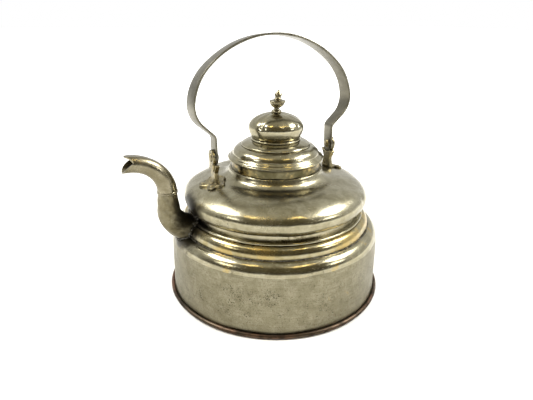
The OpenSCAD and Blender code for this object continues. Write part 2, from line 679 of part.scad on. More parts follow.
// Ear on the +X side, moved outwards by "off"
module ear(places, off) {
    gusset_x = stem_x + stem_t;
    difference() {
        union() {
            // Foot with its lobes, bent to the bulb
            intersection() {
                translate([off, 0, bulb_z]) linear_extrude(height = bulb_over_h + ear_h) union() {
                    translate(middle_of(places)) circle(r = foot_r);
                    for (p = places) translate(p) circle(r = lobe_r);
                }
                foot_skin(foot_t);
            }
            translate([off, 0, 0]) {
                // Upright stem with its shoulder points
                translate([stem_x, 0, 0]) rotate([90, 0, 90]) linear_extrude(height = stem_t)
                    polygon(concat(stem_side, flip([for (p = stem_side) [-p[0], p[1]]])));
                // Gusset that flows from the stem into the foot
                rotate([90, 0, 0]) linear_extrude(height = 1.6 * stem_w, center = true) polygon(concat(
                    bow([gusset_x, foot_z + gusset_h], [gusset_x, foot_z - foot_t / 2],
                        [gusset_x + gusset_l, foot_z - 0.8 * foot_t]),
                    [[gusset_x + gusset_l, bury_z], [gusset_x - 0.25 * stem_t, bury_z],
                     [gusset_x - 0.25 * stem_t, foot_z + gusset_h]]));
                // Round eye beside the strap, and the block that carries it
                translate([eye_x, 0, pin_z]) rotate([0, 90, 0]) cylinder(r = eye_r, h = eye_t);
                translate([stem_x + stem_t / 2, -stem_w, pin_z - block_h])
                    cube([eye_out - stem_x - stem_t / 2, 2 * stem_w, block_h]);
            }
        }
        translate([off, 0, 0]) {
            // Room for the strap's round end and for its swing
            translate([stem_x - 1, 0, pin_z]) rotate([0, 90, 0])
                cylinder(r = end_r + end_gap, h = eye_x - stem_x + 1);
            // Bore for the pin
            translate([stem_x - 1, 0, pin_z]) rotate([0, 90, 0])
                cylinder(r = pin_r, h = eye_out - stem_x + 2, $fn = 48);
        }
        foot_skin(0);
        rivet_holes(places, off);
    }
}

module ear_spout_side() { color(DARK) mirror([1, 0, 0]) ear(spout_lobes, handle_shift); }
module ear_far_side() { color(DARK) ear(far_lobes, -handle_shift); }

// Rivets through the foot and the bulb, headed on both sides
module rivets(places, off) {
    drop = sqrt(pow(rivet_ball, 2) - pow(rivet_head_r, 2));
    at_lobes(places, off) cylinder(r = rivet_r, h = 2 * foot_t, center = true, $fn = 32);
    difference() {
        at_lobes(places, off) translate([0, 0, foot_t - drop]) sphere(r = rivet_ball, $fn = 32);
        foot_skin(foot_t);
    }
    intersection() {
        at_lobes(places, off) translate([0, 0, drop - sheet_t]) sphere(r = rivet_ball, $fn = 32);
        foot_skin(-sheet_t);
    }
}

module rivets_spout_side() { color(DARK) mirror([1, 0, 0]) rivets(spout_lobes, handle_shift); }
module rivets_far_side() { color(DARK) rivets(far_lobes, -handle_shift); }

// Pin with a domed head at each end, riveted tight in the ear
module pin(off) {
    length = eye_out - rove_x;
    dome = concat([[0, 0]], [for (i = [0:6]) [pin_head_r * cos(15 * i), pin_head_h * sin(15 * i)]]);
    translate([rove_x + off, 0, pin_z]) rotate([0, 90, 0]) {
        cylinder(r = pin_r, h = length, $fn = 48);
        mirror([0, 0, 1]) rotate_extrude($fn = 48) polygon(dome);
        translate([0, 0, length]) rotate_extrude($fn = 48) polygon(dome);
    }
}

module pin_spout_side() { color(BRASS) mirror([1, 0, 0]) pin(handle_shift); }
module pin_far_side() { color(BRASS) pin(-handle_shift); }

module rove(off) {
    translate([rove_x + off, 0, pin_z]) rotate([0, 90, 0]) difference() {
        cylinder(r = rove_r, h = rove_t, $fn = 64);
        translate([0, 0, -1]) cylinder(r = pin_r, h = rove_t + 2, $fn = 48);
    }
}

module rove_spout_side() { color(DARK) mirror([1, 0, 0]) rove(handle_shift); }
module rove_far_side() { color(DARK) rove(-handle_shift); }

// Middle line of half the strap, from the crown down to the pin: [point, heading below +X]
function curve(from, r, h0, h1, n) = [for (i = [1:n]) let(h = blend(h0, h1, i / n))
    [from + r * [sin(h) - sin(h0), cos(h) - cos(h0)], h]];
function after(stations) = stations[len(stations) - 1][0];
crown = curve([0, 0], crown_r, 0, crown_turn, 16);
upper_side = curve(after(crown), side_r, crown_turn, crown_turn + side_turn, 12);
turning_in = curve(after(upper_side), turn_r, crown_turn + side_turn, slope, 12);
slope_end = after(turning_in) + slope_l * [cos(slope), -sin(slope)];
knee = concat([[slope_end, slope]], curve(slope_end, -knee_r, slope, 90, 6));
leg_end = [[after(knee) - [0, leg_h], 90]];
half = concat(crown, upper_side, turning_in, knee, leg_end);
crown_z = -leg_end[0][0][1];

function half_edge(off, side) = [for (st = half) [side * (st[0][0] + off * sin(st[1])), st[0][1] + off * cos(st[1])]];

module bail_strap() {
    t = strap_t / 2;
    outline = concat([[0, t]], half_edge(t, 1), flip(half_edge(-t, 1)), [[0, -t]],
        half_edge(-t, -1), flip(half_edge(t, -1)));
    widening = concat(
        [[leg_w / 2, 0], [leg_w / 2, leg_h]],
        bow([leg_w / 2, leg_h], [strap_w / 2, leg_h + 8], [strap_w / 2, wide_up]),
        [[strap_w / 2, crown_z + strap_t]]);
    color(TINNED) translate([-handle_shift, 0, pin_z]) rotate([-lean, 0, 0]) difference() {
        union() {
            intersection() {
                translate([0, 0, crown_z]) rotate([90, 0, 0])
                    linear_extrude(height = 2 * strap_w, center = true) polygon(outline);
                rotate([90, 0, 90]) linear_extrude(height = 4 * leg_x, center = true)
                    polygon(concat(widening, flip([for (p = widening) [-p[0], p[1]]])));
            }
            for (x = [strap_in, -strap_out]) translate([x, 0, 0]) rotate([0, 90, 0])
                cylinder(r = end_r, h = strap_t);
        }
        rotate([0, 90, 0]) cylinder(r = pin_r + pin_play, h = 3 * leg_x, center = true, $fn = 48);
    }
}

bottom_pan();
foot_roll();
drum_wall();
shoulder_cover();
waist_ring();
waist_bead();
neck_band();
bulb_shell();
collar_band();
lid_rim();
lid_skirt();
lid_cushion();
lid_disc();
dome_bead();
lid_dome();
finial();
finial_washer();
finial_nut();
spout_elbow();
spout_seam_ring();
spout_neck();
spout_solder();
ear_spout_side();
ear_far_side();
rivets_spout_side();
rivets_far_side();
pin_spout_side();
pin_far_side();
rove_spout_side();
rove_far_side();
bail_strap();
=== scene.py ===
# %% [markdown]
# # An old stove kettle
#
# The kettle is tinned sheet over copper and brass: a drum that stood in the stove's
# opening, a round bulb on top of it, a curved spout, a lid with a dome and a turned
# knob, and a strap handle on two riveted ears. Almost every part was turned or beaten
# over a form, so almost every part here is an outline that is carried round an axis.
# The bumps and dents of long use are added as arrays on top of that outline.

import bpy
import numpy as np
from mathutils import Matrix


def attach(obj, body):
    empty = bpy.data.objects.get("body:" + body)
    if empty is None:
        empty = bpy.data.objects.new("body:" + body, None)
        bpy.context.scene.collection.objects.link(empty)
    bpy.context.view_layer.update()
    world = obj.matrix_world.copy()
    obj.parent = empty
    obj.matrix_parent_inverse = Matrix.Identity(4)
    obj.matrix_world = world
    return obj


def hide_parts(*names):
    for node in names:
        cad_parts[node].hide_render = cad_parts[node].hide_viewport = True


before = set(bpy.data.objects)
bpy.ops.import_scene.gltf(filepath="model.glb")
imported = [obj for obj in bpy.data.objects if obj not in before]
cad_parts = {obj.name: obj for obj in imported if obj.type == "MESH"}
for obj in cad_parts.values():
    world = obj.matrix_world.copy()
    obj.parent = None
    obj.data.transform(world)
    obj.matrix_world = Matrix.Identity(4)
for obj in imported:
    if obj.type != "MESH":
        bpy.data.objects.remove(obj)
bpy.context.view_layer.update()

# %% [markdown]
# ## Outlines
#
# A turned piece needs one good outline. The outer line of each sheet is written as a
# few arcs in millimetres, as (radius, height). It is then cut into even steps, its
# corners are worn a little round, and a second line follows it inside at the sheet's
# thickness. Doing this with arrays keeps every piece a closed wall with an inside.

# %% Arcs, bows and even steps
MM = 0.001
TURN = 2 * np.pi


def oval(cx, cz, w, h, start, stop, steps=24):
    """Points centre + (w cos t, h sin t), with t going from start to stop in degrees."""
    t = np.radians(np.linspace(start, stop, steps + 1))
    return np.column_stack([cx + w * np.cos(t), cz + h * np.sin(t)])


def bow(p, q, r, steps=16):
    """A quadratic curve (1-t)^2 p + 2t(1-t) q + t^2 r from p to r that leans towards q."""
    t = np.linspace(0, 1, steps + 1)[:, None]
    return (1 - t) ** 2 * np.array(p) + 2 * t * (1 - t) * np.array(q) + t ** 2 * np.array(r)


def even(points, step):
    """The same line with points at equal distances along it, about step apart."""
    points = np.asarray(points, float)
    length = np.linalg.norm(np.diff(points, axis=0), axis=1)
    keep = np.concatenate([[True], length > 1e-6])
    points = points[keep]
    along = np.concatenate([[0], np.cumsum(length[length > 1e-6])])
    at = np.linspace(0, along[-1], max(4, int(round(along[-1] / step)) + 1))
    return np.column_stack([np.interp(at, along, column) for column in points.T])


def eased(points, passes):
    """Each point moves to the mean of its neighbours, passes times; the two ends stay."""
    points = points.copy()
    for _ in range(passes):
        points[1:-1] = 0.25 * points[:-2] + 0.5 * points[1:-1] + 0.25 * points[2:]
    return points


print("a 30 mm arc in even steps:", len(even(oval(0, 0, 20, 20, 0, 90), 0.8)), "points")

# %% [markdown]
# A sheet has two faces and a thickness, so its outline is a long, thin loop. The inner
# line lies at the sheet's thickness from the outer one, and both ends are half round,
# as an edge is that was filed and worn.

# %% The sheet's loop
def line_normals(points):
    """Unit vectors square to the line, on the right-hand side of its direction."""
    d = np.gradient(points, axis=0)
    n = np.column_stack([d[:, 1], -d[:, 0]])
    return n / np.linalg.norm(n, axis=1)[:, None]


def sheet_loop(parts, thick, step=0.8, passes=3):
    """Closed outline of a sheet: the outer line upwards, a half round over its end, the
    inner line back at the distance thick, and a half round at the start.
    Returns the loop and, for each point, the direction in which the sheet faces."""
    outer = eased(even(np.vstack(parts), step), passes)
    n = line_normals(outer)
    middle = outer - n * thick / 2
    t = np.radians(np.linspace(0, 180, 6))[1:-1, None]
    along_end, along_start = np.array([-n[-1, 1], n[-1, 0]]), np.array([n[0, 1], -n[0, 0]])
    cap_end = middle[-1] + thick / 2 * (np.cos(t) * n[-1] + np.sin(t) * along_end)
    cap_start = middle[0] + thick / 2 * (-np.cos(t) * n[0] + np.sin(t) * along_start)
    loop = np.vstack([outer, cap_end, (outer - n * thick)[::-1], cap_start])
    facing = np.vstack([n, np.repeat(n[-1:], len(t), 0), n[::-1], np.repeat(n[:1], len(t), 0)])
    return loop, facing


print("loop of a 30 mm strip:", len(sheet_loop([[[0, 0], [0, 30]]], 1.2)[0]), "points")

# %% [markdown]
# ## Making a mesh from a grid
#
# Every new piece is a grid of points: one direction goes round the axis or along a
# path, and the other follows the outline. The grid goes into the mesh in one call.

# %% Grid to mesh
def in_scene(name, data):
    """A new object for a mesh, a lamp or a camera, linked into the scene at the origin."""
    thing = bpy.data.objects.new(name, data)
    bpy.context.scene.collection.objects.link(thing)
    return thing


def rows_of(mesh, what="co"):
    """The places (co) or the directions (normal) of all points of a mesh, as rows x, y, z."""
    flat = np.zeros(len(mesh.vertices) * 3)
    mesh.vertices.foreach_get(what, flat)
    return flat.reshape(-1, 3)


def grid_faces(rows, columns, wrap_rows, wrap_columns):
    """Four corner numbers for each cell of a rows x columns grid, wrapped where asked."""
    i = np.arange(rows if wrap_rows else rows - 1)
    j = np.arange(columns if wrap_columns else columns - 1)
    i, j = np.meshgrid(i, j, indexing="ij")
    a = i * columns + j
    b = i * columns + (j + 1) % columns
    c = (i + 1) % rows * columns + (j + 1) % columns
    d = (i + 1) % rows * columns + j
    return np.stack([a, b, c, d], axis=-1).reshape(-1, 4)


def fill_mesh(name, points_mm, faces, crease=35):
    """A smooth mesh object from points in millimetres and lists of corners. Edges that
    bend by more than crease degrees stay sharp."""
    mesh = bpy.data.meshes.new(name)
    mesh.from_pydata((np.asarray(points_mm) * MM).tolist(), [], [list(f) for f in faces])
    mesh.polygons.foreach_set("use_smooth", np.ones(len(mesh.polygons), bool))
    mesh.set_sharp_from_angle(angle=np.radians(crease))
    mesh.update()
    return in_scene(name, mesh)


print("a closed grid of 6 x 4 points:", len(grid_faces(6, 4, True, True)), "faces")

# %% [markdown]
# Light only reflects rightly where a piece is closed and its faces look outwards. Any
# closed grid can be filled in one step, as a ring or with a cap on both ends.

# %% Closed pieces
def outward(piece):
    """Turns the faces over where the sum of p0 . (p1 x p2) over all triangles, which is six
    times the closed mesh's volume, is negative."""
    mesh = piece.data
    mesh.calc_loop_triangles()
    corners = np.zeros(len(mesh.loop_triangles) * 3, np.int32)
    mesh.loop_triangles.foreach_get("vertices", corners)
    p = rows_of(mesh)[corners.reshape(-1, 3)]
    if np.einsum("ij,ij->i", p[:, 0], np.cross(p[:, 1], p[:, 2])).sum() < 0:
        mesh.flip_normals()
    return piece


def grid_piece(name, grid, wrap=True, crease=35):
    """A closed skin from a grid whose columns run round it. Its rows wrap round too, as on a
    ring or a tube with a wall, or else they end in two flat caps."""
    rows, columns = grid.shape[:2]
    faces = grid_faces(rows, columns, wrap, True).tolist()
    if not wrap:
        faces += [list(range(columns))[::-1], list(range((rows - 1) * columns, rows * columns))]
    return outward(fill_mesh(name, grid.reshape(-1, 3), faces, crease))


# %% [markdown]
# ## Turned pieces
#
# A sheet is spun over a form on the lathe, so one outline that is carried round the
# axis gives the whole piece. Where a line touches the axis, its ring of points would be
# a pinch of doubled points, so it is closed by a single point and a fan of triangles.

# %% Outline to turned piece
def round_the_axis(line, around):
    """Grid of points (r cos a, r sin a, z): one row for each angle a, one column for each
    point (r, z) of the line."""
    a = (np.arange(around) * TURN / around)[:, None]
    return np.stack([line[:, 0] * np.cos(a), line[:, 0] * np.sin(a), line[:, 1] + 0 * a], axis=-1)


def turned(name, loop, facing=None, around=288, shape=None, closed=True):
    """The surface that a (radius, height) outline sweeps round the upright axis.
    A closed loop gives a ring. An open line has to start and end on the axis, and its
    two end rows become single points. shape(points, facing) may move the points."""
    facing = line_normals(loop) if facing is None else facing
    body, way = (loop, facing) if closed else (loop[1:-1], facing[1:-1])
    points, normals = (round_the_axis(line, around).reshape(-1, 3) for line in (body, way))
    rows = len(body)
    faces = grid_faces(around, rows, True, closed).tolist()
    if not closed:
        points = np.vstack([points, [[0, 0, loop[0, 1]], [0, 0, loop[-1, 1]]]])
        normals = np.vstack([normals, [[0, 0, -1], [0, 0, 1]]])
        ring = np.arange(around) * rows
        follow = np.roll(ring, -1)
        first, last = np.full(around, len(points) - 2), np.full(around, len(points) - 1)
        faces += np.column_stack([ring, follow, first]).tolist()
        faces += np.column_stack([follow + rows - 1, ring + rows - 1, last]).tolist()
    if shape is not None:
        points = shape(points, normals)
    return outward(fill_mesh(name, points, faces))


def spun_sheet(name, parts, thick, step=0.8, passes=3, **how):
    """A sheet of that thickness inside the outer line, swept round the axis."""
    loop, facing = sheet_loop(parts, thick, step, passes)
    return turned(name, loop, facing, **how)


def ring_loop(corners, step):
    """A closed outline through the corners, with points about step apart."""
    return even(np.vstack([corners, corners[:1]]), step)[:-1]


belly = round_the_axis(oval(80, 100, 11, 12, -70, 0), 90).reshape(-1, 3)
print("a belly in 90 steps round:", len(belly), "points")

# %% [markdown]
# ## Wear
#
# Polished metal shows every unevenness through its reflections, more than through its
# outline. Two kinds are made: a slow swell all over, as a sum of a few sine waves round
# the axis and up the piece, and single dents, each a smooth hollow with a given place,
# width and depth. Both push the sheet only inwards, so that nothing grows past the
# size that the solids give.

# %% Swell and dents
def swell(points, depth, seed):
    """Sum of seven sine waves in the angle and the height, scaled to lie from 0 to -depth."""
    rng = np.random.default_rng(seed)
    angle = np.arctan2(points[:, 1], points[:, 0])
    up = points[:, 2] - np.hypot(points[:, 0], points[:, 1])
    total = np.zeros(len(points))
    for _ in range(7):
        turns = rng.integers(2, 16)
        total += np.sin(turns * angle + rng.uniform(0, TURN) + up * rng.uniform(0.02, 0.16))
    return -depth * 0.5 * (1 + np.tanh(total / 2))


def dented(points, dents):
    """Sum of -depth exp(-(distance / width)^2) over the dents, each (x, y, z, width, depth)."""
    total = np.zeros(len(points))
    for x, y, z, width, depth in dents:
        distance = np.linalg.norm(points - np.array([x, y, z]), axis=1)
        total -= depth * np.exp(-(distance / width) ** 2)
    return total


def wear(depth, seed, dents=()):
    """A shape function that moves each point along its facing by the swell and the dents."""
    def shape(points, facing):
        push = swell(points, depth, seed) + dented(points, dents)
        return points + facing * push[:, None]
    return shape


deepest = -swell(belly, 0.5, 17).min()
print("a swell of 0.5 mm pushes the belly in by up to", round(deepest, 2), "mm")

# %% [markdown]
# ## Camera
#
# The photograph was taken from a little above and from the front left of the spout's
# side. The distance, height, tilt and lens were worked out from the ellipses of the
# rim, the seams and the lid, so the camera is written as those few numbers.

# %% Camera at the photograph's place
CAMERA_AWAY, CAMERA_UP = 428.24, 264.77
CAMERA_TILT, CAMERA_YAW, CAMERA_ROLL = np.radians([22.414, -1.1325, 0.5563])
KETTLE_TURN = np.radians(26.62)
SENSOR = 36
LENS_WIDTHS = 450 / 533  # the lens's length as a share of the picture's width


def photo_camera():
    """Camera axes from yaw, tilt and roll, then turned with the kettle about its axis."""
    sp, cp = np.sin(CAMERA_TILT), np.cos(CAMERA_TILT)
    sy, cy = np.sin(CAMERA_YAW), np.cos(CAMERA_YAW)
    sr, cr = np.sin(CAMERA_ROLL), np.cos(CAMERA_ROLL)
    forward, right = np.array([sy * cp, cy * cp, -sp]), np.array([cy, -sy, 0])
    up = np.array([sy * sp, cy * sp, cp])
    columns = np.column_stack([right * cr + up * sr, up * cr - right * sr, -forward,
                               np.array([0, -CAMERA_AWAY, CAMERA_UP]) * MM])
    c, s = np.cos(KETTLE_TURN), np.sin(KETTLE_TURN)
    turn = np.array([[c, s, 0], [-s, c, 0], [0, 0, 1]])
    matrix = np.eye(4)
    matrix[:3] = turn @ columns
    return Matrix(matrix.tolist())


camera_data = bpy.data.cameras.new("camera")
camera_data.sensor_width, camera_data.lens = SENSOR, LENS_WIDTHS * SENSOR
camera_data.clip_start, camera_data.clip_end = 0.01, 40
camera = in_scene("camera", camera_data)
camera.matrix_world = photo_camera()
bpy.context.scene.camera = camera
print("camera at", [round(v, 3) for v in camera.location])

# %% [markdown]
# ## Shader helpers
#
# The finishes are made of noise, so a few short helpers keep each one readable. put()
# adds a node and either links a socket or writes the number on it. The others name what
# they do to a value: grain() is noise, span() turns a stretch of values into 0 to 1,
# summed() adds up weighted values, and tint() mixes two colours.

# %% Shader helpers
def put(nodes, kind, inputs=None, **settings):
    """Adds one shader node; sockets given as inputs are linked and numbers are written."""
    node = nodes.new("ShaderNode" + kind)
    for key, value in settings.items():
        setattr(node, key, value)
    for key, value in (inputs or {}).items():
        if isinstance(value, bpy.types.NodeSocket):
            nodes.id_data.links.new(value, node.inputs[key])
        else:
            node.inputs[key].default_value = value
    return node


def grain(nodes, where, scale, detail=4.0, rough=0.6, stray=0.0):
    """Noise from 0 to 1: about scale waves in a metre, with detail finer layers on top,
    each rough times as strong as the last. stray bends the pattern."""
    inputs = {"Vector": where, "Scale": scale, "Detail": detail, "Roughness": rough,
              "Distortion": stray}
    return put(nodes, "TexNoise", inputs).outputs["Fac"]


def span(nodes, value, low, high, to_low=0.0, to_high=1.0):
    """to_low where the value is at most low, to_high from high on, a soft step between."""
    inputs = {"Value": value, "From Min": low, "From Max": high, "To Min": to_low,
              "To Max": to_high}
    return put(nodes, "MapRange", inputs, interpolation_type="SMOOTHSTEP").outputs["Result"]


def calc(nodes, operation, a, b=0.0):
    """One sum: the operation with the two values a and b."""
    return put(nodes, "Math", {0: a, 1: b}, operation=operation).outputs[0]


def summed(nodes, value, *weighted):
    """The value plus weight times value for each weighted pair."""
    for other, weight in weighted:
        value = calc(nodes, "ADD", value, calc(nodes, "MULTIPLY", other, weight))
    return value


def tint(nodes, share, a, b):
    """The colour (1 - share) a + share b."""
    a, b = [(*c, 1.0) if isinstance(c, tuple) and len(c) == 3 else c for c in (a, b)]
    return put(nodes, "Mix", {0: share, 6: a, 7: b}, data_type="RGBA").outputs[2]


print("helpers", ", ".join(f.__name__ for f in (put, grain, span, calc, summed, tint)))

# %% [markdown]
# Every metal here starts and ends alike. It starts with the place of each point on the
# piece, and for turned ware with a frame in which noise is drawn out into rings. It ends
# with a colour, a roughness and a shallow relief on a fully metallic shader.

# %% Start and end of a metal
def turning_marks(nodes):
    """Object coordinates, their parts, and a frame for marks of turning: x and y on a small
    circle and height minus radius up, which runs along every outline."""
    where = put(nodes, "TexCoord").outputs["Object"]
    flat = put(nodes, "VectorMath", {0: where, 1: (1, 1, 0)}, operation="MULTIPLY").outputs[0]
    radius = put(nodes, "VectorMath", {0: flat}, operation="LENGTH").outputs["Value"]
    parts = put(nodes, "SeparateXYZ", {0: where}).outputs
    small = {axis: calc(nodes, "MULTIPLY", parts[axis], 0.03) for axis in "XY"}
    climb = calc(nodes, "SUBTRACT", parts["Z"], radius)
    return where, parts, put(nodes, "CombineXYZ", {**small, "Z": climb}).outputs[0]


def new_finish(name):
    """A material with its node list and its shader, ready to be wired."""
    material = bpy.data.materials.new(name)
    material.use_nodes = True
    nodes = material.node_tree.nodes
    return material, nodes, nodes["Principled BSDF"]


def metal_skin(nodes, shader, color, gloss, height, strength, depth):
    """Wires a metal: colour, roughness, and a relief whose height 1 is depth metres."""
    relief = put(nodes, "Bump", {"Height": height, "Strength": strength, "Distance": depth})
    shader.inputs["Metallic"].default_value = 1.0
    for key, value in (("Base Color", color), ("Roughness", gloss), ("Normal", relief.outputs[0])):
        nodes.id_data.links.new(value, shader.inputs[key])


print("finishes so far", len(bpy.data.materials))

# %% [markdown]
# ## Worn tin over brass
#
# Old tinned metal is a grey-tan satin. It has fine marks round the axis from polishing,
# cloudy patches where the tin is thin and the yellow metal shows, brown tarnish in the
# clouds' low places, and small black pits. One function makes them all from a few
# numbers, because the pieces differ only in how much of each they have.

# %% Pits
TIN = (0.265, 0.24, 0.155)
PALE_TIN = (0.36, 0.335, 0.24)
YELLOW = (0.38, 0.28, 0.10)
TARNISH = (0.085, 0.07, 0.04)
PIT = (0.018, 0.015, 0.01)
ROOT = (-0.097, -0.005, 0.088)
PIT_KINDS = ((900.0, 60, 0.36), (520.0, 60, 0.30), (230.0, 33, 0.20))


def pitted(nodes, where, parts, pits, band):
    """How deep in a pit each place is, from 0 to 1. A pit is a disc round the middle of a
    cell, and it is as wide as a cloud of noise lets it be. Each kind gives its cells in a
    metre, the clouds in a metre and its widest size."""
    hole = 0.0
    for cells, patches, size in PIT_KINDS:
        spots = put(nodes, "TexVoronoi", {"Vector": where, "Scale": cells, "Randomness": 1.0})
        patch = grain(nodes, where, patches, 4, 0.7)
        reach = span(nodes, patch, 0.60 - 0.30 * pits, 0.90 - 0.20 * pits, 0.0, size)
        if band is not None:
            off = calc(nodes, "ABSOLUTE", calc(nodes, "SUBTRACT", parts["Z"], band[0]))
            near = span(nodes, off, 0.5 * band[1], band[1], 1.0, 0.45)
            reach = calc(nodes, "MULTIPLY", reach, near)
        depth = calc(nodes, "SUBTRACT", reach, spots.outputs["Distance"])
        hole = calc(nodes, "MAXIMUM", hole, span(nodes, depth, 0.0, 0.08))
    return hole


print("kinds of pit", len(PIT_KINDS))

# %% [markdown]
# The layers lie on each other as they came: bright tin, marks and specks, the yellow
# metal where the tin is rubbed through, stains, pits, and last the soot of the stove.

# %% The tin's layers
def worn_tin(name, yellow, tarnish, pits, rough, marks, base=TIN, pale=PALE_TIN, bump=0.00006,
             pit_band=None, foot=None, soot=None, speckle=0.3, painted_shade_above=None):
    """Tin whose colour and gloss follow clouds, rings of polish, scratches and pits.
    Each share from 0 to 1 moves the threshold at which that layer shows, and rough is the
    least and the most roughness. pit_band is a height and a half width in metres where
    pits gather. Below the height foot it darkens towards the tarnish colour. Above the
    height painted_shade_above it is painted nearly black, as painted shade under an
    overhang such as the lid's brim. soot is how far round the spout's root it is black."""
    material, nodes, shader = new_finish(name)
    where, parts, rings = turning_marks(nodes)
    clouds = grain(nodes, where, 26, 5, 0.62, 0.6)
    cloudlets = grain(nodes, where, 95, 5, 0.65, 0.4)
    polish = grain(nodes, rings, 1500, 3, 0.6)
    fine = grain(nodes, where, 1300, 3, 0.7)
    grit = grain(nodes, where, 520, 4, 0.75)
    color = tint(nodes, span(nodes, cloudlets, 0.35, 0.68), base, pale)
    for noise, low, high, share in ((polish, 0.42, 0.70, 0.30 * marks), (fine, 0.48, 0.74, speckle),
                                    (grit, 0.52, 0.72, speckle)):
        color = tint(nodes, span(nodes, noise, low, high, 0.0, share), color, TARNISH)
    show = summed(nodes, calc(nodes, "MULTIPLY", clouds, 0.6), (cloudlets, 0.4))
    bare = span(nodes, show, 0.66 - 0.2 * yellow, 0.76 - 0.2 * yellow, 0.0, 0.8)
    color = tint(nodes, bare, color, YELLOW)
    stain = span(nodes, show, 0.22 + 0.2 * tarnish, 0.34 + 0.2 * tarnish, 0.75, 0.0)
    color = tint(nodes, stain, color, TARNISH)
    hole = pitted(nodes, where, parts, pits, pit_band)
    color = tint(nodes, calc(nodes, "MULTIPLY", hole, 0.8), color, PIT)
    if foot is not None:
        edge = summed(nodes, parts["Z"], (cloudlets, 0.004))
        color = tint(nodes, span(nodes, edge, foot, foot + 0.004, 0.85, 0.0), color, TARNISH)
    # painted shade: above this height the metal goes nearly black, standing in for the shade in the
    # gap under an overhang
    if painted_shade_above is not None:
        shade = span(nodes, parts["Z"], painted_shade_above - 0.002, painted_shade_above + 0.0008, 0.0, 0.9)
        color = tint(nodes, shade, color, PIT)
    if soot is not None:
        away = put(nodes, "VectorMath", {0: where, 1: ROOT}, operation="DISTANCE").outputs["Value"]
        away = summed(nodes, away, (cloudlets, 0.016))
        black = span(nodes, away, soot, soot + 0.012, 0.92, 0.0)
        color = tint(nodes, black, color, PIT)
        hole = calc(nodes, "MAXIMUM", hole, calc(nodes, "MULTIPLY", black, 0.6))
    stripes = calc(nodes, "SUBTRACT", polish, 0.5)
    gloss = summed(nodes, span(nodes, clouds, 0.3, 0.7, *rough), (hole, 0.35), (stain, 0.10),
                  (stripes, 0.16 * marks))
    height = summed(nodes, calc(nodes, "MULTIPLY", polish, 0.35 * marks), (fine, 0.25),
                   (cloudlets, 1.2), (hole, -1.5))
    metal_skin(nodes, shader, color, gloss, height, 0.6, bump)
    return material


print("the layers go from", PALE_TIN, "down to", PIT)

# %% [markdown]
# Each piece gets its own mixture. The drum is the most pitted, the waist ring the
# yellowest, and the elbow is brown with smoke. The collar is painted nearly black as the
# shade in the gap under the lid's brim, blackest at its top. Soot spreads from the
# spout's root over every piece near it.

# %% One tin for each piece
drum_tin = worn_tin("drum_tin", yellow=0.1, tarnish=0.3, pits=1.0, rough=(0.34, 0.44), marks=0.8,
                    base=(0.20, 0.183, 0.12), pale=(0.27, 0.25, 0.175), pit_band=(0.030, 0.026),
                    soot=0.020, speckle=0.75)
shoulder_tin = worn_tin("shoulder_tin", yellow=0.6, tarnish=0.4, pits=0.7, rough=(0.17, 0.26),
                        marks=0.3, soot=0.033)
waist_tin = worn_tin("waist_tin", yellow=0.95, tarnish=0.4, pits=0.4, rough=(0.18, 0.30), marks=0.4,
                     foot=0.0716, base=(0.28, 0.235, 0.115), soot=0.028)
bulb_tin = worn_tin("bulb_tin", yellow=0.35, tarnish=0.3, pits=0.85, rough=(0.21, 0.29), marks=0.4,
                    pit_band=(0.096, 0.012), soot=0.026)
lid_tin = worn_tin("lid_tin", yellow=0.5, tarnish=0.3, pits=0.4, rough=(0.16, 0.25), marks=0.4)
neck_tin = worn_tin("neck_tin", yellow=0.3, tarnish=0.55, pits=0.5, rough=(0.22, 0.34), marks=0.6,
                    base=(0.31, 0.28, 0.185), pale=(0.40, 0.37, 0.27), soot=0.030)
# painted shade: the collar's base and pale are nearly black, standing in for the shade in the
# recess under the lid's brim
collar_painted_shade_tin = worn_tin("collar_painted_shade_tin", yellow=0.7, tarnish=0.55, pits=0.3, rough=(0.18, 0.28),
                      marks=0.4, base=(0.062, 0.055, 0.026), pale=(0.13, 0.117, 0.068), painted_shade_above=0.1335)
elbow_tin = worn_tin("elbow_tin", yellow=0.4, tarnish=0.75, pits=0.35, rough=(0.30, 0.44),
                     marks=0.1, base=(0.14, 0.12, 0.068), pale=(0.20, 0.18, 0.12), bump=0.00012,
                     soot=0.014)
spout_tin = worn_tin("spout_tin", yellow=0.45, tarnish=0.4, pits=0.3, rough=(0.22, 0.35), marks=0.1,
                     base=(0.17, 0.15, 0.095), pale=(0.24, 0.215, 0.15))
strap_tin = worn_tin("strap_tin", yellow=0.25, tarnish=0.5, pits=0.5, rough=(0.30, 0.42), marks=0.0,
                     base=(0.115, 0.107, 0.08), pale=(0.165, 0.155, 0.12), bump=0.0001)
print("tinned finishes", len(bpy.data.materials))

# %% [markdown]
# ## Copper, brass, solder and castings
#
# The other metals are simpler: a base with clouds of a second colour, dark in the
# hollows. A hollow is found with the pointiness of the mesh, so it follows the real
# grooves of the turned knob and the castings.

# %% The other finishes
def old_metal(name, base, other, dark, rough, grime, coarse, bump=0.0001, hollow=0.5):
    """Metal in two colours of cloud, coarse clouds in a metre. Grime covers it in crusts and
    fills the places where the mesh is concave, as dark as hollow says."""
    material, nodes, shader = new_finish(name)
    where = put(nodes, "TexCoord").outputs["Object"]
    clouds = grain(nodes, where, coarse, 5, 0.65, 0.5)
    crust = grain(nodes, where, coarse * 6, 5, 0.7, 0.3)
    fine = grain(nodes, where, 1400, 3, 0.7)
    dirt = span(nodes, crust, 0.62 - 0.3 * grime, 0.78 - 0.3 * grime)
    bent = put(nodes, "NewGeometry").outputs["Pointiness"]
    deep = calc(nodes, "MULTIPLY", span(nodes, bent, 0.44, 0.50, 1.0, 0.0), hollow)
    dirt = calc(nodes, "MAXIMUM", calc(nodes, "MULTIPLY", dirt, 0.75), deep)
    color = tint(nodes, span(nodes, clouds, 0.38, 0.62), base, other)
    gloss = summed(nodes, span(nodes, fine, 0.3, 0.7, *rough), (dirt, 0.2))
    height = summed(nodes, crust, (fine, 0.3))
    metal_skin(nodes, shader, tint(nodes, dirt, color, dark), gloss, height, 0.7, bump)
    return material


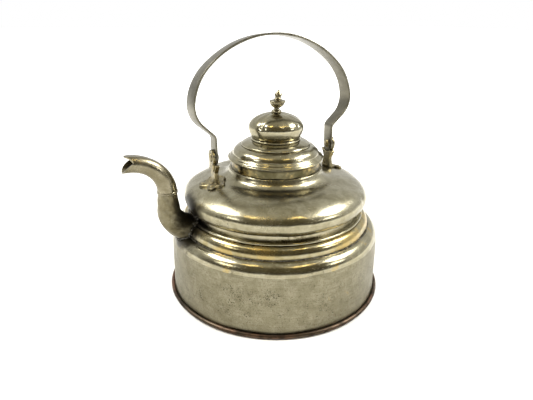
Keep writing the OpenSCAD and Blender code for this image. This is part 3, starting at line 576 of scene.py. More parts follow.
copper = old_metal("copper", (0.075, 0.056, 0.038), (0.17, 0.088, 0.058), (0.02, 0.017, 0.012),
                   (0.30, 0.45), 0.6, 14)
brass = old_metal("dull_brass", (0.17, 0.145, 0.085), (0.27, 0.245, 0.17), (0.02, 0.017, 0.01),
                  (0.22, 0.36), 0.45, 120, bump=0.00006, hollow=0.9)
casting = old_metal("casting", (0.19, 0.17, 0.11), (0.30, 0.25, 0.13), (0.025, 0.021, 0.013),
                    (0.28, 0.42), 0.5, 90, bump=0.00014, hollow=0.8)
rivet_metal = old_metal("rivet_metal", (0.24, 0.215, 0.15), (0.34, 0.28, 0.14),
                        (0.03, 0.026, 0.017), (0.26, 0.4), 0.4, 140)
solder = old_metal("solder_crust", (0.07, 0.066, 0.052), (0.30, 0.29, 0.25), (0.010, 0.009, 0.007),
                   (0.28, 0.5), 0.9, 170, bump=0.0003, hollow=0.9)
dark_seam = old_metal("dark_seam", (0.06, 0.055, 0.04), (0.20, 0.185, 0.14), (0.012, 0.011, 0.009),
                      (0.32, 0.5), 0.8, 150, bump=0.0003, hollow=0.9)
print("finishes", len(bpy.data.materials))

# %% [markdown]
# ## Dressing a piece
#
# A made piece takes the place of the plain solid of the same part. It rides on the body
# that the part belongs to, so the lid's pieces and the handle's follow their own bodies.
# Solids that hardly show keep their shape and only get a finish.

# %% Dressing a piece
def dress(piece, body, finish, slot, *nodes):
    """Gives a piece its finish, the body it rides on and the solids it stands for."""
    piece.data.materials.clear()
    piece.data.materials.append(finish)
    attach(piece, body)
    if nodes:
        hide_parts(*nodes)
    print(piece.name, "on the", body, "with", len(piece.data.polygons), "faces in", finish.name)


def coat(node, finish):
    """Puts a finish on every slot of a solid that stays in view."""
    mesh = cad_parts[node].data
    mesh.materials.clear()
    mesh.materials.append(finish)
    print(node, "coated with", finish.name)


# %% [markdown]
# ## The drum
#
# The drum is a sheet rolled into a slightly tapered ring, with a copper bottom whose
# edge is rolled up round it. The roll is what shows as a dark and red line all round.

# %% Bottom, rolled edge and drum wall
SHEET, THIN_SHEET = 1.2, 1.0
WIDE = 480  # points round a wide piece
WALL_FOOT, CREASE, CREASE_Z = 106.4, 104.6, 59.6
PAN_R, PAN_T = 106.2, 1.5

pan_line = even([[0, 0.02], [PAN_R, 0.02], [PAN_R, PAN_T], [0, PAN_T]], 0.9)
pan_line[[0, -1], 0] = 0
dress(turned("bottom", pan_line, closed=False), "kettle", copper, "copper", "bottom_pan")

roll_line = np.vstack([oval(107.7, 2.3, 2.3, 2.3, -90, 62),
                       bow((108.6, 4.45), (107.2, 4.75), (106.5, 4.3)),
                       [[106.4, 0.3], [106.9, 0.02]]])
roll = turned("foot_roll", eased(even(roll_line, 0.35), 2), around=WIDE, shape=wear(0.3, 11))
dress(roll, "kettle", copper, "copper", "foot_roll")

wall_line = [[[WALL_FOOT, 1.6], [CREASE + 0.15, CREASE_Z - 1.2], [CREASE, CREASE_Z]]]
wall_dents = [(-30, -101, 30, 14, 0.5), (60, -86, 20, 18, 0.6), (-70, -78, 40, 12, 0.4),
              (90, 55, 30, 16, 0.8), (-40, 98, 24, 15, 0.6)]
drum = spun_sheet("drum", wall_line, SHEET, around=WIDE, shape=wear(0.35, 3, wall_dents))
dress(drum, "kettle", drum_tin, "worn_tin", "drum_wall")

# %% [markdown]
# ## Shoulder, waist and bead
#
# Above the crease the drum closes in a convex shoulder. A rough line of solder joins it
# to the yellow waist ring, and a thin bead sits under the recessed neck.

# %% Shoulder and seam
SEAT_Z = 71.2


def lumpy(depth, seed):
    """A shape function for solder: the mean of fourteen short waves round the ring, pushed
    along the facing."""
    rng = np.random.default_rng(seed)
    turns, start = rng.integers(30, 260, 14), rng.uniform(0, TURN, 14)

    def shape(points, facing):
        angle = np.arctan2(points[:, 1], points[:, 0])
        push = np.sin(angle[:, None] * turns + start).mean(axis=1)
        return points + facing * (depth * push)[:, None]
    return shape


shoulder_line = [oval(93.4, CREASE_Z, 11.15, 11.6, 0, 82), [[92.5, SEAT_Z], [82.9, SEAT_Z]]]
shoulder = spun_sheet("shoulder", shoulder_line, SHEET, around=WIDE, shape=wear(0.3, 5))
dress(shoulder, "kettle", shoulder_tin, "bright_tin", "shoulder_cover")

seam_loop = oval(94.75, 71.0, 0.75, 0.7, -180, 165, 22)
seam = turned("waist_seam", seam_loop, around=900, shape=lumpy(0.7, 41))
dress(seam, "kettle", dark_seam, "solder")

# %% [markdown]
# The waist ring, the bead and the neck stand on the shoulder. Their arcs are named,
# because the spout's elbow has to be cut where it comes out of the same outline.

# %% Waist ring, bead and neck
NECK_R, BEAD_Z = 84, 81.4
WAIST_ARC = (87.8, 72.4, 6.8, 9)
BEAD_ARC = (87.3, 82.7, 1.3, 1.3)

waist_line = [[[94.6, SEAT_Z]], oval(*WAIST_ARC, 0, 90), [[NECK_R, BEAD_Z]]]
waist = spun_sheet("waist", waist_line, THIN_SHEET, around=WIDE, shape=wear(0.2, 7))
dress(waist, "kettle", waist_tin, "yellow_tin", "waist_ring")

bead_line = np.vstack([[[NECK_R, BEAD_Z]], oval(*BEAD_ARC, -90, 90), [[NECK_R, 84]]])
bead = turned("bead", ring_loop(bead_line, 0.4), around=WIDE, shape=wear(0.12, 8))
dress(bead, "kettle", shoulder_tin, "bright_tin", "waist_bead")

neck_line = [[[NECK_R, 71.3], [NECK_R, 90.6]]]
neck = spun_sheet("neck", neck_line, SHEET, around=360, shape=wear(0.2, 9))
dress(neck, "kettle", neck_tin, "dark_tin", "neck_band")

# %% [markdown]
# ## The bulb
#
# The bulb is one beaten sheet. It is fullest just above the neck, runs flat over the
# top, and sweeps up in a hollow curve to a ledge, where the collar stands.

# %% Bulb and collar
BELLY_ARC = (80.6, 99.9, 11, 12.2)
CREST_ARC = (49, 99.9, 42.6, 18.2)
LEDGE_ARC = (57.9, 126.5, 11.6, 8.8)

bulb_line = [oval(*BELLY_ARC, -71.8, 0), oval(*CREST_ARC, 0, 77.8, 60),
             oval(*LEDGE_ARC, -90, -180), [[44.2, 126.6]]]
bulb_dents = [(-20, -88, 100, 7, 0.7), (58, -68, 104, 5, 0.6), (75, 45, 104, 10, 0.8),
              (-60, 60, 108, 12, 0.8)]
bulb = spun_sheet("bulb", bulb_line, SHEET, around=WIDE, shape=wear(0.5, 17, bulb_dents))
dress(bulb, "kettle", bulb_tin, "bright_tin", "bulb_shell")

COLLAR_R, COLLAR_TOP = 43.9, 136.7
collar_line = [[[COLLAR_R, 122], [COLLAR_R, COLLAR_TOP]]]
collar = spun_sheet("collar", collar_line, SHEET, shape=wear(0.12, 19))
dress(collar, "kettle", collar_painted_shade_tin, "bright_tin", "collar_band")

# %% [markdown]
# ## The lid
#
# The lid is built up from five sheets: a rim with a rolled lip, a skirt that drops into
# the collar, a full cushion, a disc with an upright edge, and a dome with a dent on
# either side of its front. The lip isn't true any more, so it waves up and down.

# %% Brim and skirt
SKIRT, RIM_FOOT, RIM_TOP = 42.45, 136.75, 140.5


def wavy_lip(points, facing):
    """The brim droops by 1.2 mm outside the collar and by 2.2 mm at the front, and its edge
    rises and sinks by a third of a millimetre."""
    angle = np.arctan2(points[:, 1], points[:, 0])
    out = np.clip((np.hypot(points[:, 0], points[:, 1]) - 44.2) / 2.9, 0, 1)
    wave = 0.55 + 0.25 * np.sin(3 * angle + 1.1) + 0.2 * np.sin(7 * angle)
    droop = 1.2 + 0.5 * (1 + np.cos(angle + TURN / 4 + KETTLE_TURN))
    moved = points - facing * (0.12 * out * wave)[:, None]
    moved[:, 2] += out ** 0.6 * (0.35 * wave - droop)
    return moved


rim_line = np.vstack([[[SKIRT, RIM_FOOT], [45.9, RIM_FOOT]],
                      oval(46.25, 137.55, 0.85, 0.85, -90, 95),
                      bow((45.6, 138.35), (43.2, 138.9), (SKIRT, RIM_TOP)), [[SKIRT, RIM_FOOT]]])
rim = turned("lid_rim", eased(even(rim_line, 0.3), 1)[:-1], shape=wavy_lip)
dress(rim, "lid", lid_tin, "bright_tin", "lid_rim")

skirt_line = [[[SKIRT, 128.1], [SKIRT, RIM_TOP]]]
skirt = spun_sheet("lid_skirt", skirt_line, THIN_SHEET, shape=wear(0.1, 23))
dress(skirt, "lid", neck_tin, "worn_tin", "lid_skirt")

# %% [markdown]
# The steps above the brim are soft where they were pressed and worn: a cushion, a disc
# that turns down at its edge, a bead, and the hollow dome.

# %% Cushion, disc, bead and dome
CUSHION_TOP, DISC_Z, DOME_R, DOME_Z = 147.8, 149.6, 22.7, 153.0
BEAD_TOP, DOME_MID, DOME_TOP = DOME_Z + 1.8, 164.6, 178.77

cushion_line = [bow((SKIRT, RIM_TOP), (41.3, 145.6), (34.6, CUSHION_TOP)), [[32, CUSHION_TOP]]]
cushion_dents = [(14, -37, 144, 5, 0.3), (-22, -31, 145, 6, 0.3), (30, 24, 144, 7, 0.5)]
cushion = spun_sheet("lid_cushion", cushion_line, THIN_SHEET, 0.5,
                     shape=wear(0.2, 27, cushion_dents))
dress(cushion, "lid", lid_tin, "bright_tin", "lid_cushion")

disc_line = [[[33.45, 147.85], [33.85, 148.2], [33.8, 149.2]],
             bow((33.1, DISC_Z), (28.3, 152.9), (DOME_R, DOME_Z))]
disc = spun_sheet("lid_disc", disc_line, THIN_SHEET, 0.5, 2, shape=wear(0.12, 29))
dress(disc, "lid", lid_tin, "bright_tin", "lid_disc")

ring_line = np.vstack([[[DOME_R, DOME_Z]], oval(23.2, DOME_Z + 0.9, 0.9, 0.9, -90, 90),
                       [[DOME_R, BEAD_TOP]]])
dress(turned("dome_bead", ring_loop(ring_line, 0.25)), "lid", lid_tin, "bright_tin", "dome_bead")

dome_line = [[[DOME_R, DOME_Z + 0.1], [DOME_R, BEAD_TOP]],
             bow((DOME_R, BEAD_TOP), (25.9, 157.6), (27, DOME_MID)),
             oval(0, DOME_MID, 27, 14.4, 2, 80.4), [[2.3, DOME_TOP + 0.02]]]
dome_dents = [(-21, -14, 168, 2.2, 0.7), (11.5, -22, 169, 2.0, 0.8), (-6, -25, 160, 6, 0.3),
              (16, 18, 168, 5, 0.7)]
dome = spun_sheet("lid_dome", dome_line, THIN_SHEET, 0.5, 2, shape=wear(0.3, 31, dome_dents))
dress(dome, "lid", lid_tin, "bright_tin", "lid_dome")

# %% [markdown]
# ## The knob
#
# The knob was turned on a lathe: a round foot, a thin stem, an urn with a sharp edge, a
# small collar and a pointed bud. It leans a little to one side, as its stud is bent.

# %% Finial, washer and nut
def leaning(points, facing):
    """Moves each point sideways by a tenth of its height above the dome."""
    up = np.clip(points[:, 2] - DOME_TOP, 0, None)
    return points + np.column_stack([0.089 * up, -0.045 * up, 0 * up])


knob = np.vstack([
    [[0, -5.4], [1.8, -5.2], [1.8, -0.1], [4.6, 0]], bow((4.8, 0.5), (4.9, 2.0), (3.6, 2.4), 8),
    bow((3.0, 2.7), (2.5, 3.0), (2.5, 3.74), 6), bow((3.0, 4.44), (6.9, 6.4), (7.5, 9.9), 14),
    [[8.0, 10.6], [7.7, 11.0]], bow((6.8, 11.35), (4.1, 11.9), (3.4, 12.4), 6),
    [[3.3, 13.2], [2.8, 13.7], [2.9, 15.15]], bow((3.6, 15.85), (4.2, 16.55), (3.2, 17.45), 6),
    [[3.0, 17.6], [2.9, 17.85], [0.5, 21.05], [0, 21.28]]])
knob_line = eased(even(knob + [0, DOME_TOP], 0.16), 2)
knob_line[[0, -1], 0] = 0
finial = turned("finial", knob_line, closed=False, around=128, shape=leaning)
dress(finial, "lid", brass, "dull_brass", "finial")
coat("finial_washer", brass)
coat("finial_nut", brass)

# %% [markdown]
# ## The spout
#
# The spout is a bent tube in the upright plane through the axis. Its centre line is
# given as a list of lengths and turns. Each line along the tube starts where it meets
# the body and ends where the cut of the lips says, so both ends are shaped without any
# cutting tool.

# %% The spout's centre line
LEGS = ((20.0, 0), (22.18, -62), (17.7, 0), (31.38, 62), (17.59, 28), (5.6, 0))
ELBOW_L = sum(length for length, _ in LEGS[:3])
SPOUT_L = sum(length for length, _ in LEGS)
SEAM = np.array([-109.4, 115.5])


def bent_line(legs, start, count, passes):
    """Points, headings and lengths along a line bent like a wire: the heading turns evenly
    over each leg (length, turn in degrees), is eased, and each step of the line is
    (cos heading, sin heading) times its length."""
    lengths, turns = np.array(legs).T
    heads = np.radians(start + np.append(0, np.cumsum(turns)))
    s = np.linspace(0, lengths.sum(), count)
    head = eased(np.interp(s, np.append(0, np.cumsum(lengths)), heads), passes)
    steps = np.column_stack([np.cos(head), np.sin(head)]) * (s[1] - s[0])
    return np.cumsum(steps, axis=0) - steps[0], head, s


SPOUT_POINTS, SPOUT_HEAD, SPOUT_S = bent_line(LEGS, 152, 1600, 300)
SPOUT_POINTS += SEAM - [np.interp(ELBOW_L, SPOUT_S, column) for column in SPOUT_POINTS.T]


def spout_skin(s, angle, radius, flat=1.0):
    """Points on the tube at lengths s and angles round it; angle 0 is the upper side, which
    is pressed flat at the share flat of the radius with a softly rounded step."""
    x, z = (np.interp(s, SPOUT_S, SPOUT_POINTS[:, i]) for i in (0, 1))
    head = np.interp(s, SPOUT_S, SPOUT_HEAD)
    up = 0.5 * (np.cos(angle) + flat - np.sqrt((np.cos(angle) - flat) ** 2 + 0.0016)) + 0.02
    up = np.minimum(up, np.cos(angle)) * radius
    return np.stack([x + up * np.sin(head), np.sin(angle) * radius, z - up * np.cos(head)], axis=-1)


print("centre line from", SPOUT_POINTS[0].round(1), "to", SPOUT_POINTS[-1].round(1))

# %% [markdown]
# The elbow has to start on the skin of the body. The outline of drum, shoulder, waist,
# bead and bulb is therefore kept as one line, so that any point can be asked how far
# outside it lies.

# %% The body's outline
BODY = np.vstack([[[CREASE, 40], [CREASE, CREASE_Z]], oval(93.4, CREASE_Z, 11.1, 11.6, 0, 88),
                  [[94.6, 71.25]], oval(*WAIST_ARC, 0, 88), oval(*BEAD_ARC, -88, 88),
                  [[NECK_R, 84.1], [NECK_R, 88.3]], oval(*BELLY_ARC, -71, 0)])


def outside_body(points):
    """Distance from the body's outer surface, measured level: positive is outside."""
    outline = np.interp(points[..., 2], BODY[:, 1], BODY[:, 0])
    return np.hypot(points[..., 0], points[..., 1]) - outline


print("body outline", len(BODY), "points up to", round(BODY[-1, 1], 1), "mm")

# %% [markdown]
# The elbow is the wide lower half. It gets thinner upwards and leaves the body through
# the corner of shoulder and waist, so its start is looked for along each of its lines:
# the last place that still lies inside the body.

# %% Elbow
SIDES = 96
AROUND = np.arange(SIDES) * TURN / SIDES
ROOT_R, SEAM_R = 14.2, 8.8


def along(start, stop, rows):
    """Even steps from start to stop, down the rows of the grid."""
    return start + (stop - start) * np.linspace(0, 1, rows)[:, None]


def elbow_radius(s):
    """From ROOT_R to SEAM_R with the share of the length to the power 1.3."""
    return ROOT_R + (SEAM_R - ROOT_R) * (np.clip(s, 0, ELBOW_L) / ELBOW_L) ** 1.3


def elbow_start(inset):
    """For each line of the elbow, the length at which it comes out of the body."""
    s = np.linspace(0, ELBOW_L, 900)[:, None]
    inside = outside_body(spout_skin(s, AROUND, elbow_radius(s) - inset)) < -0.25
    last = len(s) - 1 - np.argmax(inside[::-1], axis=0)
    return s[np.where(inside.any(axis=0), last, 0), 0]


def elbow_grid(inset):
    """The tube from the body to the seam, with flat hammer marks as a product of sines."""
    s = along(elbow_start(inset), ELBOW_L, 110)
    bumps = 0.25 * np.sin(s * 0.31 + 2 * AROUND + 1) * np.sin(3 * AROUND + 0.17 * s)
    return spout_skin(s, AROUND, elbow_radius(s) - inset - 0.3 + bumps)


def tube_piece(name, skin):
    """A closed wall: the outer skin from start to end and the one a sheet inside it back."""
    return grid_piece(name, np.concatenate([skin(0), skin(SHEET)[::-1]]))


dress(tube_piece("spout_elbow", elbow_grid), "kettle", elbow_tin, "dark_tin", "spout_elbow")

# %% [markdown]
# A narrow raised ring hides the joint of the two halves. It is the same tube with a
# short, rounded outline, and it sits a little askew.

# %% Seam ring
ring_s = np.array([-0.95, -0.8, -0.4, 0.1, 0.5, 0.8, 0.9, 0.9, -0.95])[:, None]
ring_r = np.array([8.95, 9.25, 9.45, 9.5, 9.4, 9.2, 8.95, 8.7, 8.7])[:, None]
askew = 0.12 * np.sin(2 * AROUND + 0.6)
seam_ring = grid_piece("seam_ring", spout_skin(ELBOW_L + ring_s + askew, AROUND, ring_r))
dress(seam_ring, "kettle", spout_tin, "yellow_tin", "spout_seam_ring")

# %% [markdown]
# The mouth is cut on a slant. The lower lip reaches furthest, the two sides run back to
# a notch, and the upper lip is a short flat beak between two slanting edges.

# %% Neck and mouth
END_X, MID_Z, MOUTH_TOP = -147.3, 145.3, 7.04
NOTCH_X, NOTCH_UP, BEAK_X = 9.8, 1.8, 2.9
LOWER_CUT = bow((0, -8.1), (2.45, -2.0), (NOTCH_X, NOTCH_UP), 40)
UPPER_CUT = bow((NOTCH_X, NOTCH_UP), (5.9, MOUTH_TOP - 1.8), (BEAK_X, MOUTH_TOP - 0.6), 40)


def cut_away(points):
    """How far each point lies past the edge of the lips, in millimetres towards the mouth.
    The edge is a line over the height, and the beak limits it by the distance from the
    middle plane."""
    up = points[..., 2] - MID_Z
    lower, upper = (np.interp(up, cut[:, 1], cut[:, 0]) for cut in (LOWER_CUT, UPPER_CUT))
    beak = BEAK_X + (NOTCH_X - BEAK_X) * np.clip((np.abs(points[..., 1]) - 1.9) / 5.0, 0, 1)
    edge = np.where(up < NOTCH_UP, lower, np.maximum(upper, beak))
    return END_X + edge - points[..., 0]


def neck_share(s):
    """How far along the long bend above the seam a length is, from 0 to 1."""
    return np.clip((s - ELBOW_L) / LEGS[3][0], 0, 1)


def neck_skin(s, inset):
    """The tube above the seam: it narrows with the square of the share, flares at the seam,
    and its upper side is pressed flatter towards the mouth."""
    radius = SEAM_R - 0.8 * neck_share(s) ** 2 + 0.3 * np.exp(-(s - ELBOW_L) / 2.5)
    return spout_skin(s, AROUND, radius - inset, 1 - 0.12 * neck_share(s))


def neck_grid(inset):
    """The tube from just below the seam to where each of its lines meets the cut."""
    s = np.linspace(ELBOW_L - 1.5, SPOUT_L, 1200)[:, None]
    past = cut_away(neck_skin(s, inset)) > 0
    stop = s[np.where(past.any(axis=0), np.argmax(past, axis=0), len(s) - 1), 0]
    return neck_skin(along(s[0, 0], stop, 150), inset)


dress(tube_piece("spout_neck", neck_grid), "kettle", spout_tin, "yellow_tin", "spout_neck")

# %% [markdown]
# The root is held by a crust of solder. It follows the line where elbow and body meet,
# is thickest in the corner above, and has lumps that were never filed down.

# %% Solder at the spout's root
def solder_crust():
    """A bead round the meeting line: meet + out cos b t + side sin b t, with b the angle
    round the bead and t its thickness, which twelve sine waves make lumpy. Points deep
    inside the body are moved to its skin."""
    turns = 240
    angle = np.arange(turns) * TURN / turns
    start = elbow_start(0)
    s = np.interp(angle, np.append(AROUND, TURN), np.append(start, start[0]))
    meet = spout_skin(s, angle, elbow_radius(s) - 0.2)
    tangent = np.roll(meet, -1, 0) - np.roll(meet, 1, 0)
    tangent /= np.linalg.norm(tangent, axis=1)[:, None]
    out = meet * [1, 1, 0]
    out /= np.linalg.norm(out, axis=1)[:, None]
    side = np.cross(tangent, out)
    rng = np.random.default_rng(5)
    round_it = np.arange(28) * TURN / 28
    lumps = sum(rng.uniform(0.3, 1) * np.sin(rng.integers(4, 40) * angle[:, None]
                                             + rng.integers(1, 5) * round_it
                                             + rng.uniform(0, TURN)) for _ in range(12)) / 4
    thick = 1.9 + 2.0 * np.clip(np.cos(angle), 0, 1)[:, None] + 1.25 * lumps
    grid = (meet[:, None] + out[:, None] * (np.cos(round_it) * thick)[..., None]
            + side[:, None] * (np.sin(round_it) * thick)[..., None])
    deep = np.minimum(outside_body(grid) + 0.9, 0)[..., None]
    level = grid * [1, 1, 0]
    return grid - deep * level / np.linalg.norm(level, axis=-1)[..., None]


crust = grid_piece("root_solder", solder_crust(), crease=60)
dress(crust, "kettle", solder, "solder", "spout_solder")

# %% [markdown]
# ## Ears, rivets and pins
#
# The ears are castings. Each is a copy of its solid whose edges are melted round: the
# copy is rebuilt from small cells, smoothed, and roughened by a fraction of a millimetre.

# %% Ears
CELL, CAST_ROUGH = 0.32, 0.10


def cast_copy(name, seed):
    """The solid's mesh, joined, rebuilt from cells and smoothed, then pushed along its
    normals by the mean of ten sine waves."""
    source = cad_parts[name]
    raw = in_scene(name + "_raw", source.data.copy())
    raw.matrix_world = source.matrix_world
    raw.modifiers.new("weld", "WELD").merge_threshold = 1e-5
    cells = raw.modifiers.new("cells", "REMESH")
    cells.mode, cells.voxel_size = "VOXEL", CELL * MM
    melt = raw.modifiers.new("melt", "SMOOTH")
    melt.factor, melt.iterations = 0.5, 5
    ready = raw.evaluated_get(bpy.context.evaluated_depsgraph_get())
    mesh = bpy.data.meshes.new_from_object(ready)
    mesh.transform(source.matrix_world)
    bpy.data.objects.remove(raw)
    p = rows_of(mesh) / MM
    rng = np.random.default_rng(seed)
    waves = rng.normal(0, 1.1, (10, 3))
    push = np.sin(p @ waves.T + rng.uniform(0, TURN, 10)).mean(axis=1) - 0.35
    p = p + rows_of(mesh, "normal") * (CAST_ROUGH * push)[:, None]
    mesh.vertices.foreach_set("co", (p * MM).reshape(-1))
    mesh.polygons.foreach_set("use_smooth", np.ones(len(mesh.polygons), bool))
    mesh.update()
    mesh.name = name
    return in_scene(name, mesh)


for name, seed in (("ear_spout_side", 3), ("ear_far_side", 8)):
    dress(cast_copy(name, seed), "kettle", casting, "dark_cast", name)

# %% [markdown]
# The rivets go through the lobes of each foot and the bulb's crest. A stud is turned
# once, upright, and then copied to each place. The handle sits a little nearer to the
# spout, so one ear is shifted out and the other in by the same 1.2 mm.

# %% Rivets
PIN_Z, HEART_X, LOBE_R, BAIL_SHIFT = 142.06, 62.8, 10.6, 1.2
EARS = (("spout_side", -1, BAIL_SHIFT, (-58, 22, 102)), ("far_side", 1, -BAIL_SHIFT, (-18, 62)))


def crest(radius):
    """Height of the bulb's top at a radius: z + h sqrt(1 - ((radius - x) / w)^2)."""
    x, z, w, h = CREST_ARC
    return z + h * np.sqrt(1 - ((radius - x) / w) ** 2)


def studs(name, places, line):
    """One mesh with a turned stud at each place; a place is a 4 x 4 matrix in millimetres."""
    first = turned(name, eased(even(line, 0.25), 1), closed=False, around=40)
    co = rows_of(first.data) / MM
    co = np.column_stack([co, np.ones(len(co))])
    corners = np.zeros(len(first.data.loops), np.int32)
    first.data.loops.foreach_get("vertex_index", corners)
    starts = np.zeros(len(first.data.polygons), np.int32)
    first.data.polygons.foreach_get("loop_start", starts)
    bpy.data.objects.remove(first)
    points = np.vstack([co @ np.array(place).T[:, :3] for place in places])
    faces = [face.tolist() for i in range(len(places))
             for face in np.split(corners + i * len(co), starts[1:])]
    return outward(fill_mesh(name, points, faces))


rivet_line = [(0, -2.3), (1.2, -2.2), (2.4, -1.35), (1.5, -1.25), (1.5, 1.8), (2.5, 1.9),
              (2.2, 2.2), (1.2, 2.45), (0, 2.5)]
for side, sign, shift, angles in EARS:
    places = []
    for angle in np.radians(angles):
        x, y = HEART_X + shift + LOBE_R * np.cos(angle), LOBE_R * np.sin(angle)
        places.append(Matrix.Translation((sign * x, y, crest(np.hypot(x, y)))))
    rivets = studs("rivets_" + side, places, rivet_line)
    dress(rivets, "kettle", rivet_metal, "dark_cast", "rivets_" + side)

# %% [markdown]
# In the photograph the foot on the spout's side reads as one trefoil plate with a raised
# edge, fuller than the solid's three lobes. A thin plate of that outline is laid over it.

# %% Trefoil plate under the ear on the spout's side
def foot_plate(name, heart, turn):
    """Rings of r(t) = 11.6 + 2.7 cos 3(t - turn) round the heart, laid on the bulb, with a
    raised lip near the edge and the under side sunk a little into the sheet."""
    share = np.concatenate([np.linspace(0.04, 1, 26), [1.0], np.linspace(0.98, 0.04, 8)])[:, None]
    lift = np.interp(np.arange(len(share)), [0, 19, 22, 24, 25, 26, len(share)],
                     [1.55, 1.5, 2.0, 1.75, 1.2, -0.3, -0.3])[:, None]
    t = np.arange(120) * TURN / 120
    reach = share * (11.6 + 2.7 * np.cos(3 * (t - turn)))
    x, y = heart + reach * np.cos(t), reach * np.sin(t)
    rough_skin = 0.12 * np.sin(1.7 * x) * np.sin(1.9 * y + 1)
    points = np.stack([-x, y, crest(np.hypot(x, y)) + lift + rough_skin * (lift > 0)], axis=-1)
    return grid_piece(name, points, wrap=False, crease=60)


trefoil = foot_plate("foot_plate", HEART_X + BAIL_SHIFT, np.radians(22))
dress(trefoil, "kettle", casting, "dark_cast")

# %% [markdown]
# A pin holds each end of the strap to its ear. It is domed at both ends, and a small
# round plate lies under its inner head, so that the head can't pull through.

# %% Pins and their round plates
PIN_X = 59.75


def lying(x, unit=1.0):
    """The matrix that lays a turned piece along X at the pins' height, facing outwards."""
    turn = Matrix.Rotation(np.pi / 2 if x >= 0 else -np.pi / 2, 4, "Y")
    return Matrix.Translation((x * unit, 0, PIN_Z * unit)) @ turn


pin_line = np.vstack([oval(0, 0, 4.3, 1.5, -90, 0, 6), [[2.4, 0.02], [2.4, 6.08]],
                      oval(0, 6.1, 4.3, 1.5, 0, 90, 6)])
pin_line[[0, -1], 0] = 0
plate_line = [(2.42, 0), (5.4, 0), (5.6, 0.2), (5.6, 0.6), (5.4, 0.8), (2.42, 0.8)]
for side, sign, shift, _ in EARS:
    x = sign * (PIN_X + shift)
    pin = studs("pin_" + side, [lying(x)], pin_line)
    dress(pin, "kettle", rivet_metal, "dull_brass", "pin_" + side)
    plate = turned("rove_" + side, ring_loop(plate_line, 0.2), around=64)
    plate.data.transform(lying(x, MM))
    dress(plate, "kettle", strap_tin, "dark_cast", "rove_" + side)

# %% [markdown]
# ## The strap handle
#
# The handle is one strap of even thickness, bent over a crown, down two sides and in
# again to straight legs. It is widest at the grip. Its edges are worn round, its left
# arm is twisted a few degrees, and its legs end in round eyes that turn on the pins.

# %% The strap's line
STRAP_T, LEG_X, LEG_H, END_R, LEAN = 2.1, 61.8, 17.1, 7.6, np.radians(4)
GRIP_HALF, LEG_HALF, STEP = 8.7, 7.0, 1.1
BENDS = ((72.19, 44), (34.49, 38), (22.87, 56), (13.05, 0), (4.19, -48), (LEG_H, 0))


def half_strap():
    """Points (x, drop), headings below level and lengths from the crown to the pin. What
    the eased line misses LEG_X by is taken off evenly along it."""
    points, head, s = bent_line(BENDS, 0, 3000, 120)
    return points - [points[-1, 0] - LEG_X, 0] * (s / s[-1])[:, None], head, s


print("half a strap is", round(half_strap()[2][-1], 1), "mm long up to its pin")

# %% [markdown]
# The cross-section is a flat bar with round corners. One is set up at each station along
# the line, turned to the heading there, and the rows close over the crown and both legs.

# %% Strap
def strap():
    """A grid of rounded rectangles along the strap, from one round end to the other, each
    square to the heading. The half width grows from leg to grip and is
    sqrt(END_R^2 - up^2) round the eye, and the corners are quarter circles."""
    points, head, s = half_strap()
    past = END_R * np.sin(np.radians(np.linspace(0, 88, 26)))[1:]
    stations = np.concatenate([np.arange(0, s[-1], STEP), s[-1] + past])
    stations = np.concatenate([-stations[:0:-1], stations])
    length, side = np.abs(stations), np.sign(stations + 1e-9)
    x = np.interp(length, s, points[:, 0])
    drop = np.interp(length, s, points[:, 1]) + np.clip(length - s[-1], 0, None)
    tip = np.interp(length, s, head)
    up = points[-1, 1] - drop
    widening = bow((LEG_H, LEG_HALF), (LEG_H + 8, GRIP_HALF), (52, GRIP_HALF), 30)
    half = np.interp(up, widening[:, 0], widening[:, 1])
    eye = np.sqrt(np.clip(END_R ** 2 - up ** 2, 0.01, None))
    half = np.where(up < 0, eye, np.where(up < END_R, np.maximum(half, eye), half))
    half = half - 0.12 * (1 + np.sin(stations * 0.21)) * (up > 14)
    thick = STRAP_T / 2 * np.where(up > 14, 0.94 + 0.04 * np.sin(stations * 0.13), 1)
    twist = np.radians(6) * np.exp(-((stations + 105) / 34) ** 2)
    corner = np.minimum(0.55, half * 0.5)
    a = np.radians(np.linspace(0, 90, 5))
    quarters = [(np.cos(a + q * np.pi / 2), np.sin(a + q * np.pi / 2), u, v)
                for q, (u, v) in enumerate(((1, 1), (-1, 1), (-1, -1), (1, -1)))]
    width, height = (half - corner)[:, None], (thick - corner)[:, None]
    corner = corner[:, None]
    across = np.concatenate([u * width + corner * c for c, _, u, _ in quarters], axis=1)
    over = np.concatenate([v * height + corner * d for _, d, _, v in quarters], axis=1)
    c, d = np.cos(twist)[:, None], np.sin(twist)[:, None]
    across, over = across * c - over * d, across * d + over * c
    nx, nz = (side * np.sin(tip))[:, None], np.cos(tip)[:, None]
    return np.stack([(side * x)[:, None] + over * nx, across, up[:, None] + over * nz], axis=-1)


grid = strap()
lean = np.array([[1, 0, 0], [0, np.cos(LEAN), np.sin(LEAN)], [0, -np.sin(LEAN), np.cos(LEAN)]])
points = grid.reshape(-1, 3) @ lean.T + [-BAIL_SHIFT, 0, PIN_Z]
bail = grid_piece("bail", points.reshape(grid.shape), wrap=False, crease=50)
print("strap stations", len(grid))

# %% [markdown]
# The eyes are drilled through both legs at once by one long rod. The holes are made real
# in the mesh, because the piece can't keep a modifier that needs another object.

# %% Eyes
bore = studs("bore", [lying(0)], [(0, -70), (2.48, -70), (2.48, 70), (0, 70)])
drill = bail.modifiers.new("drill", "BOOLEAN")
drill.operation, drill.solver, drill.object = "DIFFERENCE", "EXACT", bore
drilled = bpy.data.meshes.new_from_object(bail.evaluated_get(bpy.context.evaluated_depsgraph_get()))
bail.modifiers.clear()
bail.data = drilled
bpy.data.objects.remove(bore)
dress(bail, "bail", strap_tin, "strap_tin", "bail_strap")

